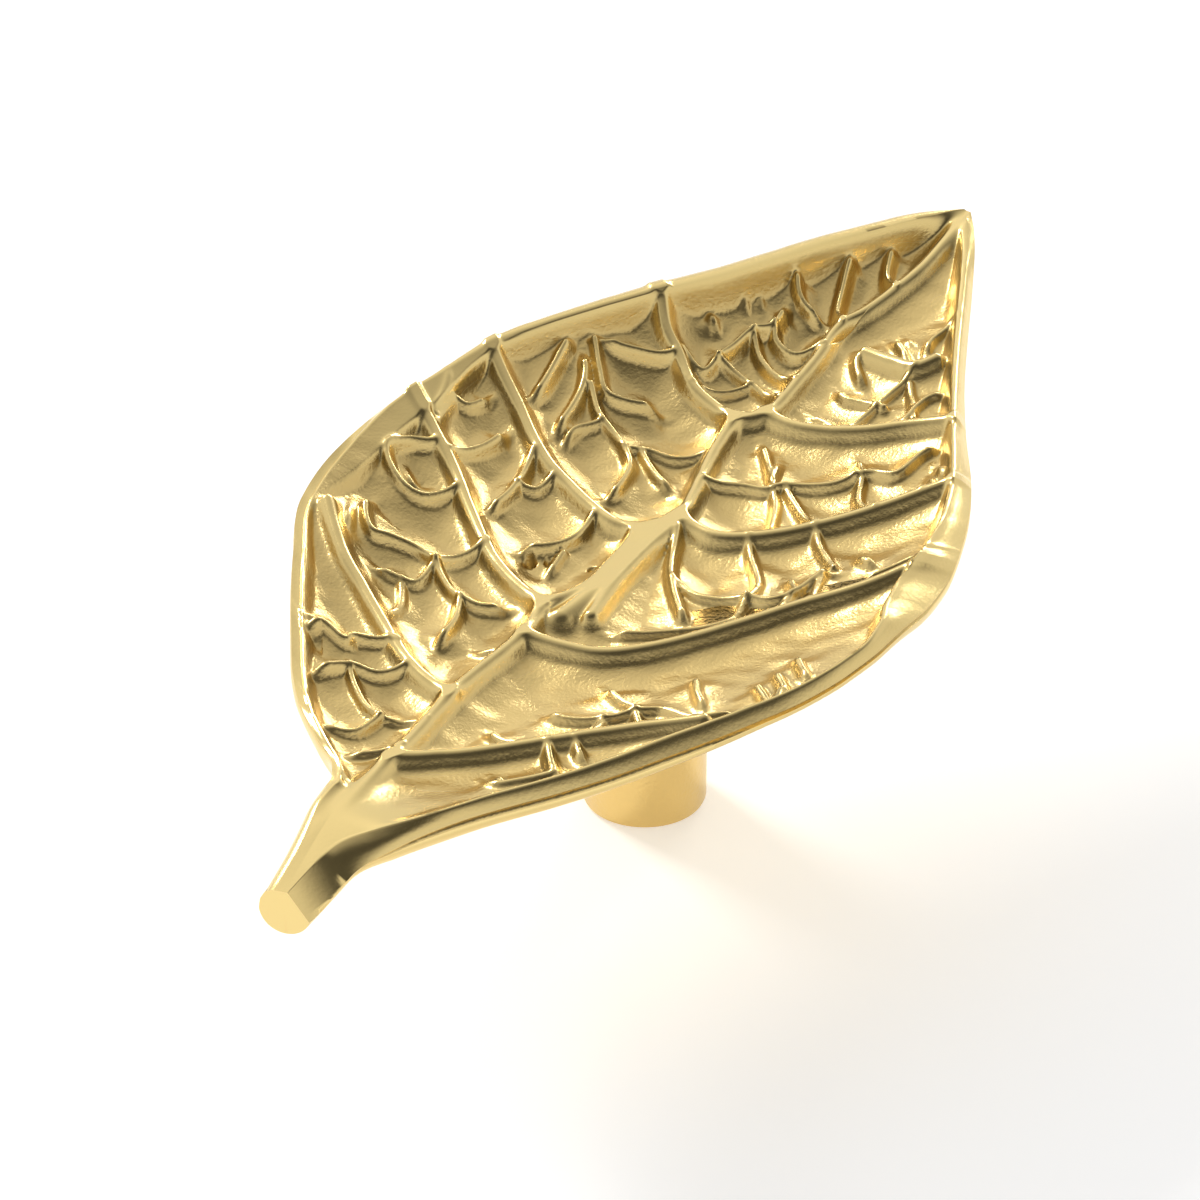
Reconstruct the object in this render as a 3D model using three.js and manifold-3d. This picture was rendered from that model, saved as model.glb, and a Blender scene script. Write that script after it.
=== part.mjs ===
// Leaf-shaped cabinet pull: one brass casting, a cupped leaf with raised veins on a short round post.
// Millimetres. The origin is the centre of the post's seating face, +Z points out of the drawer front
// and +Y points along the leaf towards its tip.
import * as THREE from "three";
import { mergeVertices } from "three/addons/utils/BufferGeometryUtils.js";
import Module from "manifold-3d";

// Leaf outline
const bladeLength = 67;
const bladeBack = 30.5; // from the post's axis back to where the blade starts
const leftWidth = 16.6; // widest reach left of the post's axis
const rightWidth = 19; // widest reach right of it
const midribSway = 1.8; // how far the midrib wanders left of the post's axis
const stemLength = 6.5;
const stemWidth = 2.7;
const stemSwing = 1.6; // how far the stem's cut end swings to the right

// Heights
const leafHeight = 17.1; // the midrib's crest above the seating face, at the post
const leftCup = 4; // the most the left rim rises above the midrib
const rightCup = 3.6;
const tipRise = 3.9;
const stemDrop = 0.9;
const bladeThickness = 2.4;
const stemThickness = 2.8;

// Rim, measured square to the outline
const lipWidth = 0.9; // the burnished top of the rim, where it is widest
const bevelWidth = 2.3; // from the lip out to the parting line, where it is widest
const bevelDrop = 0.65;
const bevelSlope = 0.3; // how much deeper the bevel goes for each millimetre of its width
const creaseDepth = 0.14;
const bandHeight = 1.4; // the round band under the parting line
const bandBulge = 0.5;
const bandTuck = 0.5; // how far the band's lower side turns in under the leaf

// Relief. Each ridge is a round cord on a skirt that runs out softly into the hollows.
const panelDepth = 1.22; // from the crest of a vein down to an open hollow
const veinCord = 0.5; // height of a vein's cord
const veinWidth = 0.55; // from a cord's crest to where it has fallen to a third
const crossCord = 0.46; // the same of the small ridges that join the veins
const crossSkirt = 0.5;
const crossWidth = 0.45;
const crossFade = 0.3; // how much lower a small ridge gets in places
const crossWander = 0.12; // how far it wanders sideways, as a share of the half leaf's width
const crossWave = 9; // from one bend of it to the next
const skirtRound = 0.45;
const skirtReach = 0.95;
const midribSpread = 2.7; // width of the flat on the right of the midrib, over the post
const fullReliefFrom = 6; // the relief fades in over this length of the blade
const fadeToTip = 4;

// Post
const postDiameter = 7;
const postFillet = 0.9;
const postChamfer = 0.3;
const boreDiameter = 3.3; // the hole an M4 thread is cut in
const boreDepth = 11;
const boreMouth = 4.2;

// Mesh fineness
const rowSpacing = 1.3;
const undersideColumns = 5;
const roundSides = 32;

const tipY = bladeLength - bladeBack;
const baseY = -bladeBack;
const stemEndY = baseY - stemLength;
const sides = { left: -1, right: 1 };
const { lerp: mix, smoothstep, degToRad } = THREE.MathUtils;

// A smooth curve through hand-set [input, output] pairs that never overshoots between them.
function smoothTable(pairs) {
  const slope = pairs.slice(1).map(([x, y], i) => (y - pairs[i][1]) / (x - pairs[i][0]));
  const tangent = pairs.map((_, i) => {
    const [before, after] = [slope[i - 1] ?? slope[0], slope[i] ?? slope[i - 1]];
    return before * after <= 0 ? 0 : (2 * before * after) / (before + after);
  });
  return (x) => {
    const next = pairs.findIndex(([end]) => x < end);
    const i = next < 0 ? slope.length - 1 : Math.max(next - 1, 0);
    const [[x0, y0], [x1, y1]] = [pairs[i], pairs[i + 1]];
    const t = THREE.MathUtils.clamp((x - x0) / (x1 - x0), 0, 1);
    const ends = y0 * (1 + 2 * t) * (1 - t) ** 2 + y1 * t * t * (3 - 2 * t);
    const bend = tangent[i] * t * (1 - t) ** 2 - tangent[i + 1] * t * t * (1 - t);
    return ends + bend * (x1 - x0);
  };
}

// The same for pairs of a share of the blade's length and a share of one size.
const atShare = (share) => baseY + share * bladeLength;
const scaled = (pairs, size) => pairs.map(([share, value]) => [atShare(share), value * size]);
const bladeTable = (size, ...pairs) => smoothTable(scaled(pairs, size));

const sway = [
  [0, 0.28],
  [0.11, 0],
  [0.33, -0.61],
  [0.46, -0.33],
  [0.65, -1],
  [0.8, -0.5],
  [1, 0.06],
];
const midribX = smoothTable([[stemEndY, stemSwing], ...scaled(sway, midribSway)]);
// Over the post the midrib is a broad flat that runs out to the right of its crest.
const midribFlat = bladeTable(midribSpread, [0.3, 0], [0.34, 1], [0.39, 0.72], [0.45, 0.5], [0.51, 0]);

const stemHalf = stemWidth / 2;
const leftOutline = [
  [0.02, 0.056],
  [0.047, 0.125],
  [0.066, 0.225],
  [0.1, 0.385],
  [0.165, 0.585],
  [0.24, 0.785],
  [0.3, 0.922],
  [0.37, 0.98],
  [0.44, 1],
  [0.5, 0.975],
  [0.57, 0.945],
  [0.65, 0.822],
  [0.79, 0.53],
  [0.88, 0.36],
  [0.93, 0.245],
  [0.99, 0.06],
  [1, -0.005],
];
const rightOutline = [
  [0.016, 0.29],
  [0.05, 0.37],
  [0.1, 0.51],
  [0.16, 0.67],
  [0.22, 0.825],
  [0.27, 0.92],
  [0.31, 0.965],
  [0.35, 0.985],
  [0.41, 0.98],
  [0.47, 0.95],
  [0.54, 0.875],
  [0.6, 0.78],
  [0.69, 0.59],
  [0.77, 0.43],
  [0.84, 0.305],
  [0.91, 0.185],
  [0.96, 0.095],
  [1, 0.005],
];
// The stem's two edges run on into the blade's outline, the right one in a wide flare.
const edgeX = {
  left: smoothTable([
    [stemEndY, stemSwing - stemHalf],
    [baseY, -0.68 * stemHalf],
    ...scaled(leftOutline, -leftWidth),
  ]),
  right: smoothTable([
    [stemEndY, stemSwing + stemHalf],
    [mix(stemEndY, baseY, 0.54), stemSwing + 1.26 * stemHalf],
    [mix(stemEndY, baseY, 0.88), stemSwing + 2.07 * stemHalf],
    ...scaled(rightOutline, rightWidth),
  ]),
};

const crestZ = smoothTable([
  [stemEndY, leafHeight - stemDrop],
  [baseY, leafHeight],
  [0, leafHeight],
  [tipY * 0.4, leafHeight + tipRise * 0.16],
  [tipY * 0.7, leafHeight + tipRise * 0.49],
  [tipY, leafHeight + tipRise],
]);
const leftRise = [
  [-0.02, 0],
  [0.12, 0.3],
  [0.24, 0.72],
  [0.4, 1],
  [0.6, 0.95],
  [0.75, 0.74],
  [0.85, 0.5],
  [0.93, 0.25],
  [1, 0],
];
const rightRise = [
  [-0.02, 0],
  [0.12, 0.3],
  [0.24, 0.75],
  [0.38, 1],
  [0.5, 0.95],
  [0.6, 0.8],
  [0.75, 0.42],
  [0.85, 0.22],
  [0.93, 0.1],
  [1, 0],
];
// The rim along each side: how high it rises, its lip, bevel and band, and how high its lip stands
// between two veins. The bevel opens into a notch where the right side is widest.
const rims = {
  left: {
    rise: bladeTable(leftCup, ...leftRise),
    lip: bladeTable(lipWidth, [0, 0.25], [0.45, 0.3], [0.6, 0.65], [0.8, 1], [0.95, 0.9], [1, 0.4]),
    bevel: bladeTable(bevelWidth, [0, 0.08], [1, 0.08]),
    band: bladeTable(bandHeight, [0, 1.35], [0.08, 1.2], [0.2, 1], [1, 1]),
    bulge: bladeTable(bandBulge, [0, 0.3], [0.05, 0.9], [0.12, 1], [0.3, 0.95], [0.42, 0.3], [0.6, 0.2]),
    strength: bladeTable(1, [0, 0.4], [0.35, 0.45], [0.5, 0.9], [1, 1]),
  },
  right: {
    rise: bladeTable(rightCup, ...rightRise),
    lip: bladeTable(lipWidth, [0, 0.25], [0.9, 0.3], [1, 0.45]),
    bevel: bladeTable(bevelWidth, [0, 0.1], [0.375, 0.12], [0.43, 1], [0.5, 0.52], [0.665, 0.19], [1, 0.08]),
    band: bladeTable(bandHeight, [0, 1], [0.15, 0.95], [0.27, 0.62], [0.36, 0.7], [0.48, 0.9], [1, 1]),
    bulge: bladeTable(bandBulge, [0, 0.2], [1, 0.2]),
    strength: bladeTable(1, [0, 0.9], [1, 0.9]),
  },
};

// Side veins: the shares of the blade's length where each leaves the midrib and where it meets the rim,
// how far it bows towards the stem, as a share of its own length, and how much of that bow lies near
// the midrib.
const veins = {
  left: [
    { start: 0.174, end: 0.326, bow: 0.042, lean: 0.3 },
    { start: 0.322, end: 0.481, bow: 0.02, lean: 1.2 },
    { start: 0.463, end: 0.577, bow: 0.063, lean: 0.6 },
    { start: 0.65, end: 0.738, bow: 0.082, lean: 0.2 },
  ],
  right: [
    { start: 0.077, end: 0.219, bow: -0.06, lean: -0.7 },
    { start: 0.277, end: 0.487, bow: 0.078, lean: 1.3 },
    { start: 0.504, end: 0.606, bow: 0.123, lean: 1.2 },
    { start: 0.675, end: 0.7, bow: 0.067, lean: 1.2 },
    { start: 0.803, end: 0.808, bow: 0.2, lean: -0.5 },
  ],
};
// Short ridges between two veins that run the way the veins do, from one share of the way out to another.
const shortVeins = {
  left: [
    { start: 0.25, from: 0.05, to: 0.5 },
    { start: 0.55, from: 0.3, to: 0.75 },
    { start: 0.81, from: 0.1, to: 0.8 },
    { start: 0.88, from: 0.05, to: 0.6 },
  ],
  right: [
    { start: 0.14, from: 0.15, to: 0.8 },
    { start: 0.59, from: 0.05, to: 0.7 },
  ],
};
// The small ridges that cross each panel from its lower vein to its upper one, from the stem to the tip:
// the shares of the way to the rim where each starts and ends, counted from the midrib.
const crossings = {
  left: [
    [[0.5, 0.08], [0.75, 0.2], [0.88, 0.35], [0.95, 0.55], [0.98, 0.8]],
    [[0.24, 0.2], [0.46, 0.38], [0.66, 0.5], [0.88, 0.64], [0.96, 0.82]],
    [[0.32, 0.19], [0.5, 0.4], [0.6, 0.55], [0.73, 0.68], [0.85, 0.82]],
    [[0.22, 0.36], [0.45, 0.58], [0.62, 0.76], [0.76, 0.87], [0.9, 0.95]],
    [[0.2, 0.1], [0.4, 0.25], [0.55, 0.48], [0.72, 0.68], [0.88, 0.88]],
  ],
  right: [
    [[0.2, 0.12], [0.4, 0.28], [0.6, 0.45], [0.78, 0.62], [0.92, 0.8]],
    [[0.3, 0.1], [0.52, 0.24], [0.7, 0.4], [0.85, 0.58], [0.95, 0.78]],
    [[0.37, 0.06], [0.47, 0.27], [0.6, 0.42], [0.78, 0.6], [0.92, 0.78]],
    [[0.2, 0.12], [0.36, 0.26], [0.54, 0.4], [0.72, 0.55], [0.88, 0.76]],
    [[0.12, 0.15], [0.28, 0.4], [0.43, 0.66], [0.62, 0.85], [0.82, 0.95]],
    [[0.2, 0.12], [0.4, 0.32], [0.6, 0.52], [0.72, 0.75], [0.88, 0.92]],
  ],
};
const crossCount = crossings.left[0].length;
const crossFlank = 0.2; // where a small ridge's foot lies, as a share of the way to the next one

// The skin's rows run the way the side veins do. A row is named by its y on the midrib.
const stemTilt = stemHalf * Math.sin(Math.atan2(stemSwing, stemLength));
function rowMap(side) {
  const start = [stemEndY, stemEndY + sides[side] * stemTilt];
  const along = (key) => veins[side].map((vein) => [atShare(vein.start), vein[key]]);
  const ends = veins[side].map((vein) => [atShare(vein.start), atShare(vein.end)]);
  return {
    endY: smoothTable([start, [baseY, baseY], ...ends, [tipY, tipY]]),
    bow: smoothTable([[stemEndY, 0], [baseY, 0], ...along("bow"), [tipY, 0]]),
    lean: smoothTable([[baseY, 0], ...along("lean"), [tipY, 0]]),
  };
}
const rows = { left: rowMap("left"), right: rowMap("right") };

// Where the small ridges lie on a row, as shares of the way to the rim. On a vein they shift from the
// places they have in the panel below it to those in the panel above it.
function crossMap(side) {
  const bounds = [baseY, ...veins[side].map(({ start }) => atShare(start)), tipY];
  return Array.from({ length: crossCount }, (_, k) =>
    smoothTable(
      crossings[side].flatMap((panel, i) => [
        [bounds[i] + veinWidth, panel[k][0]],
        [bounds[i + 1] - veinWidth, panel[k][1]],
      ]),
    ),
  );
}
const crossShares = { left: crossMap("left"), right: crossMap("right") };

// Rows lie close together at each vein, and evenly between the veins.
function rowStations() {
  const across = (start, steps) => steps.map((step) => atShare(start) + step * veinWidth);
  const ribs = ({ left, right }, steps) => [...left, ...right].flatMap(({ start }) => across(start, steps));
  const keys = [stemEndY, baseY, ...ribs(veins, [-1.7, -0.8, 0, 0.8, 1.7]), ...ribs(shortVeins, [-1, 0, 1]), tipY - 1];
  keys.sort((a, b) => a - b);
  const apart = keys.filter((y, i) => i === 0 || y - keys[i - 1] > veinWidth / 3);
  return apart.flatMap((from, i) => {
    const span = (apart[i + 1] ?? from) - from;
    const steps = Math.max(1, Math.round(span / rowSpacing));
    return Array.from({ length: steps }, (_, k) => from + (span * k) / steps);
  });
}

// Columns count small ridges from the midrib out: one on each ridge and one at each of its feet.
const columns = Array.from({ length: crossCount + 1 }, (_, k) => [k, k + crossFlank, k + 1 - crossFlank])
  .flat()
  .concat(crossCount + 1);

// Each small ridge rises, falls and wanders along the leaf out of step with the others.
const crossSwing = (m, k) => Math.sin((2 * Math.PI * m) / crossWave + 2.4 * k);

// Where a point counted in small ridges from the midrib lies, as a share of the way to the rim.
function shareOfWay(side, m, count) {
  const wandering = (share, k) => share + crossWander * share * (1 - share) * crossSwing(m, k);
  const places = [0, ...crossShares[side].map((place, k) => wandering(place(m), k)), 1];
  const below = Math.min(Math.floor(count), crossCount);
  return mix(places[below], places[below + 1], count - below);
}

const cordHeight = (distance, width) => Math.exp(-((distance / width) ** 2));
const skirtHeight = (distance) => Math.exp((skirtRound - Math.hypot(distance, skirtRound)) / skirtReach);

// Every ridge near a point, as its distance, the height of its cord and skirt, and its cord's width.
function ridgesNear(side, m, count, row, share) {
  const way = (start) => Math.abs(m - atShare(start)) * row.spacing(share);
  const vein = { cord: veinCord, skirt: panelDepth - veinCord, width: veinWidth };
  const cross = { cord: crossCord, skirt: crossSkirt, width: crossWidth };
  const fade = 1 - crossFade * (0.5 + 0.5 * crossSwing(m, 2 * Math.round(count)));
  const flat = side === "right" ? midribFlat(m) : 0;
  const line = shareOfWay(side, m, Math.round(count));
  const short = shortVeins[side].filter(({ from, to }) => share > from && share < to);
  return [
    { distance: Math.max(share * row.length - flat, 0), ...vein },
    ...veins[side].map(({ start }) => ({ distance: way(start), ...vein })),
    ...short.map(({ start }) => ({ distance: way(start), ...cross })),
    { distance: Math.abs(share - line) * row.length, ...cross, cord: crossCord * fade },
  ];
}

// How far below the leaf's smooth dish a point lies.
function reliefDepth(side, m, count, row) {
  const share = shareOfWay(side, m, count);
  const ridges = ridgesNear(side, m, count, row, share);
  const cords = ridges.map(({ distance, cord, width }) => cord * cordHeight(distance, width));
  const skirts = ridges.map(({ distance, skirt }) => skirt * skirtHeight(distance));
  const toRim = (1 - share) * row.length;
  const rim = rims[side].strength(row.endY) * mix(cordHeight(toRim, veinWidth), skirtHeight(toRim), 0.5);
  const height = Math.max(Math.max(...cords) + Math.max(...skirts), rim * panelDepth);
  const present = smoothstep(m, baseY, baseY + fullReliefFrom) * (1 - smoothstep(m, tipY - fadeToTip, tipY));
  return Math.max(panelDepth - height, 0) * present;
}

// One side of one row: its middle, its chord out to the edge, and the sizes that depend on both.
function rowSide(side, m) {
  const { endY, bow, lean } = rows[side];
  const middle = (y) => new THREE.Vector2(midribX(y), y);
  const edge = (y) => new THREE.Vector2(edgeX[side](endY(y)), endY(y));
  const step = 0.1;
  const chord = edge(m).sub(middle(m));
  const length = Math.max(chord.length(), 0.01);
  const along = chord.clone().divideScalar(length);
  const middleStep = middle(m + step).sub(middle(m)).divideScalar(step);
  const edgeStep = edge(m + step).sub(edge(m)).divideScalar(step);
  const bowing = new THREE.Vector2(-chord.y, chord.x).multiplyScalar(-4 * sides[side] * bow(m));
  const bowAt = (share) => share * (1 - share) * (1 + lean(m) * (1 - 2 * share));
  const square = Math.max(Math.abs(along.cross(edgeStep)) / Math.max(edgeStep.length(), 0.01), 0.4);
  return {
    length,
    endY: endY(m),
    // Distance between rows per step of m, square to the rows.
    spacing: (share) => Math.abs(along.cross(middleStep.clone().lerp(edgeStep, share))),
    // A width square to the outline, as a share of the chord.
    inset: (width, most) => Math.min(width / square / length, most),
    at: (share) => middle(m).addScaledVector(chord, share).addScaledVector(bowing, bowAt(share)),
    rimZ: crestZ(endY(m)) + rims[side].rise(endY(m)),
  };
}

// The blade's half section as [share of chord, height, angle in the round stem's section].
function bladeSection(side, m, row) {
  const rim = rims[side];
  const narrow = Math.min(1, row.length / 4);
  const bevel = rim.bevel(row.endY);
  const rimShare = 1 - row.inset(rim.lip(row.endY) + bevel, 0.45);
  const dishZ = (share) => mix(crestZ(m), row.rimZ, Math.min(share / rimShare, 1) ** 2.2);
  const points = columns.map((count) => {
    const share = shareOfWay(side, m, count) * rimShare;
    return [share, dishZ(share) - reliefDepth(side, m, count, row), mix(90, 45, count / (crossCount + 1))];
  });
  const lipZ = points.at(-1)[1];
  const footZ = Math.min(row.rimZ - (bevelDrop + bevelSlope * bevel) * narrow, lipZ - 0.1 * narrow);
  const band = rim.band(row.endY) * narrow;
  const flare = row.inset(rim.bulge(row.endY), 0.12);
  const tuck = row.inset(bandTuck, 0.3);
  points.push([1 - row.inset(bevel, 0.35), lipZ - 0.03 * narrow, 30]);
  points.push([1 + flare * 0.6, footZ, 8]);
  points.push([1 + flare * 0.6 - row.inset(creaseDepth, 0.1), footZ - band * 0.06, 2]);
  points.push([1 + flare * 0.8, footZ - band * 0.38, -10]);
  points.push([1 + flare * 0.2 - tuck * 0.4, footZ - band * 0.78, -28]);
  points.push([1 - tuck, footZ - band, -45]);
  for (let i = undersideColumns; i > 0; i--) {
    const share = ((1 - tuck) * i) / (undersideColumns + 1);
    const thickness = mix(bladeThickness, row.rimZ - footZ + band, share ** 2);
    points.push([share, dishZ(share) - thickness, mix(-90, -45, i / (undersideColumns + 1))]);
  }
  return points;
}

// One closed row of the skin: out over the right side, under the leaf, and back over the left side.
function rowLoop(m) {
  const stemShare = 1 - smoothstep(m, mix(stemEndY, baseY, 0.38), baseY + bladeLength * 0.022);
  const halfThick = stemThickness / 2;
  const place = (side) => {
    const row = rowSide(side, m);
    return bladeSection(side, m, row).map(([share, z, angle]) => {
      const turn = degToRad(angle);
      const round = [Math.cos(turn), crestZ(m) - halfThick + halfThick * Math.sin(turn)];
      const spot = row.at(mix(share, round[0], stemShare));
      return [spot.x, spot.y, mix(z, round[1], stemShare)];
    });
  };
  const thickness = mix(bladeThickness, stemThickness, stemShare);
  const under = [midribX(m), m, crestZ(m) - thickness];
  return [...place("right"), under, ...place("left").slice(1).reverse()];
}

const average = (points) =>
  [0, 1, 2].map((axis) => points.reduce((sum, point) => sum + point[axis], 0) / points.length);

function leafSkin() {
  const loops = rowStations().map(rowLoop);
  const count = loops[0].length;
  const faces = [];
  for (let row = 0; row < loops.length - 1; row++)
    for (let i = 0; i < count; i++) {
      const [a, b] = [row * count + i, row * count + ((i + 1) % count)];
      faces.push(a, b, b + count, a, b + count, a + count);
    }
  const total = loops.length * count;
  for (let i = 0; i < count; i++) {
    const next = (i + 1) % count;
    faces.push(next, i, total, total - count + i, total - count + next, total + 1);
  }
  const tip = [midribX(tipY), tipY, crestZ(tipY) - bevelDrop];
  const points = [...loops.flat(), average(loops[0]), tip];
  const geometry = new THREE.BufferGeometry();
  geometry.setAttribute("position", new THREE.Float32BufferAttribute(points.flat(), 3));
  geometry.setIndex(faces);
  return geometry;
}

const wasm = await Module();
wasm.setup();

function solid(geometry) {
  geometry.deleteAttribute("normal");
  geometry.deleteAttribute("uv");
  const merged = mergeVertices(geometry);
  const vertProperties = merged.attributes.position.array;
  const triVerts = new Uint32Array(merged.index.array);
  return new wasm.Manifold(new wasm.Mesh({ numProp: 3, vertProperties, triVerts }));
}

function geometryOf(manifold) {
  const mesh = manifold.getMesh();
  const geometry = new THREE.BufferGeometry();
  geometry.setAttribute("position", new THREE.BufferAttribute(mesh.vertProperties, 3));
  geometry.setIndex(new THREE.BufferAttribute(mesh.triVerts, 1));
  return geometry;
}

// A body turned about Z from [radius, z] pairs that start and end on the axis.
function turned(pairs, segments) {
  const outline = pairs.map(([radius, z]) => new THREE.Vector2(radius, z));
  return solid(new THREE.LatheGeometry(outline, segments).rotateX(Math.PI / 2));
}

function postSolid() {
  const radius = postDiameter / 2;
  const underside = leafHeight - bladeThickness;
  const hidden = 0.3; // the fillet's rim and top stay inside the leaf
  const arc = new THREE.Path();
  arc.absarc(radius + postFillet, underside + hidden - postFillet, postFillet, Math.PI, Math.PI / 2, true);
  const fillet = arc.getPoints(4).map(({ x, y }) => [x, y]);
  const top = underside + 2 * hidden;
  const foot = [[0, 0], [radius - postChamfer, 0], [radius, postChamfer]];
  return turned([...foot, ...fillet, [radius + postFillet, top], [0, top]], roundSides);
}

function boreSolid() {
  const [radius, mouth] = [boreDiameter / 2, boreMouth / 2];
  const countersink = [[0, -1], [mouth, -1], [mouth, 0], [radius, mouth - radius]];
  return turned([...countersink, [radius, boreDepth - radius / 2], [0, boreDepth]], roundSides / 2);
}

const casting = solid(leafSkin()).add(postSolid()).subtract(boreSolid());

const brass = new THREE.MeshStandardMaterial({ color: 0xd9b866, metalness: 1, roughness: 0.22 });
const pull = new THREE.Mesh(geometryOf(casting), brass);
pull.name = "leaf_pull";

const model = new THREE.Group();
model.add(pull);
export default model;
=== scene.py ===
"""A leaf-shaped cabinet pull, cast in one piece in brass and burnished along its veins and rim."""
import logging
import math
from dataclasses import dataclass, field
from enum import Enum
from typing import Sequence

import bmesh
import bpy
import numpy as np
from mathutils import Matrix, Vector


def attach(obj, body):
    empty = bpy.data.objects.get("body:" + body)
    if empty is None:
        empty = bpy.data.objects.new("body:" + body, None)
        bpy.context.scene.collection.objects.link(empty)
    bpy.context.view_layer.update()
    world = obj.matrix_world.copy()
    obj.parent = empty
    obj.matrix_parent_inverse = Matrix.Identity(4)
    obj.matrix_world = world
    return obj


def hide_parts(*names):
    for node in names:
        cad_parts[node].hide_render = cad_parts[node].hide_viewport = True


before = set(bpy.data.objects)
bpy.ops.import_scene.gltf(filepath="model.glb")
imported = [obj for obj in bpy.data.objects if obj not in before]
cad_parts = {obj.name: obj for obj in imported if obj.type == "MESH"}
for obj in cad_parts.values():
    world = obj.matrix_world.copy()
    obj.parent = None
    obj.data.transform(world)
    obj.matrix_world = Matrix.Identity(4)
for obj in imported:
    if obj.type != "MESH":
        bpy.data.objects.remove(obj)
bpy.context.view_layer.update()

MM = 0.001
Point = tuple[float, float]
Table = tuple[Point, ...]
Triple = tuple[float, float, float]
log = logging.getLogger("leaf_pull")


class Side(Enum):
    """The leaf's two halves, with the sign of X on each."""

    LEFT = -1
    RIGHT = 1


def smoothstep(value: np.ndarray, low: float, high: float) -> np.ndarray:
    """Rises smoothly from 0 at low to 1 at high.

    Args:
        value: Numbers to test.
        low: Where the rise starts.
        high: Where it ends.

    Returns:
        Numbers from 0 to 1.
    """
    t = np.clip((value - low) / (high - low), 0.0, 1.0)
    return t * t * (3.0 - 2.0 * t)


def lerp(a: np.ndarray, b: np.ndarray, t: np.ndarray) -> np.ndarray:
    """Goes from a at t 0 to b at t 1."""
    return a + (b - a) * t


@dataclass(frozen=True)
class SmoothCurve:
    """A smooth curve through given points that never overshoots between them."""

    pairs: Table

    def __call__(self, where: np.ndarray) -> np.ndarray:
        """Reads the curve.

        Args:
            where: Inputs, in any shape.

        Returns:
            The curve's values, in the same shape.
        """
        x = np.array([p[0] for p in self.pairs])
        y = np.array([p[1] for p in self.pairs])
        slope = np.diff(y) / np.diff(x)
        before = np.concatenate(([slope[0]], slope))
        after = np.concatenate((slope, [slope[-1]]))
        product = before * after
        total = np.where(product > 0, before + after, 1.0)
        tangent = np.where(product > 0, 2 * product / total, 0.0)
        where = np.asarray(where, dtype=float)
        i = np.clip(np.searchsorted(x, where, side="right") - 1, 0, len(x) - 2)
        width = x[i + 1] - x[i]
        t = np.clip((where - x[i]) / width, 0.0, 1.0)
        ends = y[i] * (1 + 2 * t) * (1 - t) ** 2 + y[i + 1] * t * t * (3 - 2 * t)
        bend = tangent[i] * t * (1 - t) ** 2 - tangent[i + 1] * t * t * (1 - t)
        return ends + bend * width


@dataclass(frozen=True)
class Vein:
    """A side vein as the rows of the leaf follow it, in shares of the blade's length."""

    start: float
    end: float
    bow: float


@dataclass(frozen=True)
class Ridge:
    """A raised cord on the leaf with a soft skirt round it. Plan points and sizes in mm.

    The higher its crown number, the flatter its top and the steeper its flanks.
    """

    points: tuple[Point, ...]
    width: float
    rise: float
    skirt: float
    crown: float
    tapered: bool

    def smooth(self, steps: int = 5) -> np.ndarray:
        """Runs a smooth curve through the points.

        Args:
            steps: Short straight pieces from one point to the next.

        Returns:
            The curve's points.
        """
        line = np.array(self.points)
        ends = np.vstack((2 * line[0] - line[1], line, 2 * line[-1] - line[-2]))
        t = np.linspace(0, 1, steps, endpoint=False)[:, None]
        pieces = []
        for a, b, c, d in zip(ends, ends[1:], ends[2:], ends[3:]):
            bend = 2 * a - 5 * b + 4 * c - d + t * (3 * b - a - 3 * c + d)
            pieces.append(b + t * ((c - a) + t * bend) / 2)
        return np.vstack((*pieces, line[-1:]))


def vein(*points: Point, width: float = 0.58, tapered: bool = False) -> Ridge:
    """A main vein: a broad cord with a flat polished crown.

    Args:
        *points: Where it runs.
        width: How far from its middle its edge lies.
        tapered: Whether it thins out at its ends.

    Returns:
        The vein.
    """
    return Ridge(points, width, rise=0.5, skirt=0.72, crown=2.8, tapered=tapered)


def twig(*points: Point, strength: float = 1.0) -> Ridge:
    """A small round ridge that joins the veins.

    Args:
        *points: Where it runs.
        strength: How bold it is, up to 1.

    Returns:
        The ridge.
    """
    return Ridge(points, width=0.2 + 0.12 * strength, rise=0.5 * strength,
                 skirt=0.46 * strength, crown=2.5, tapered=True)


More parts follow.
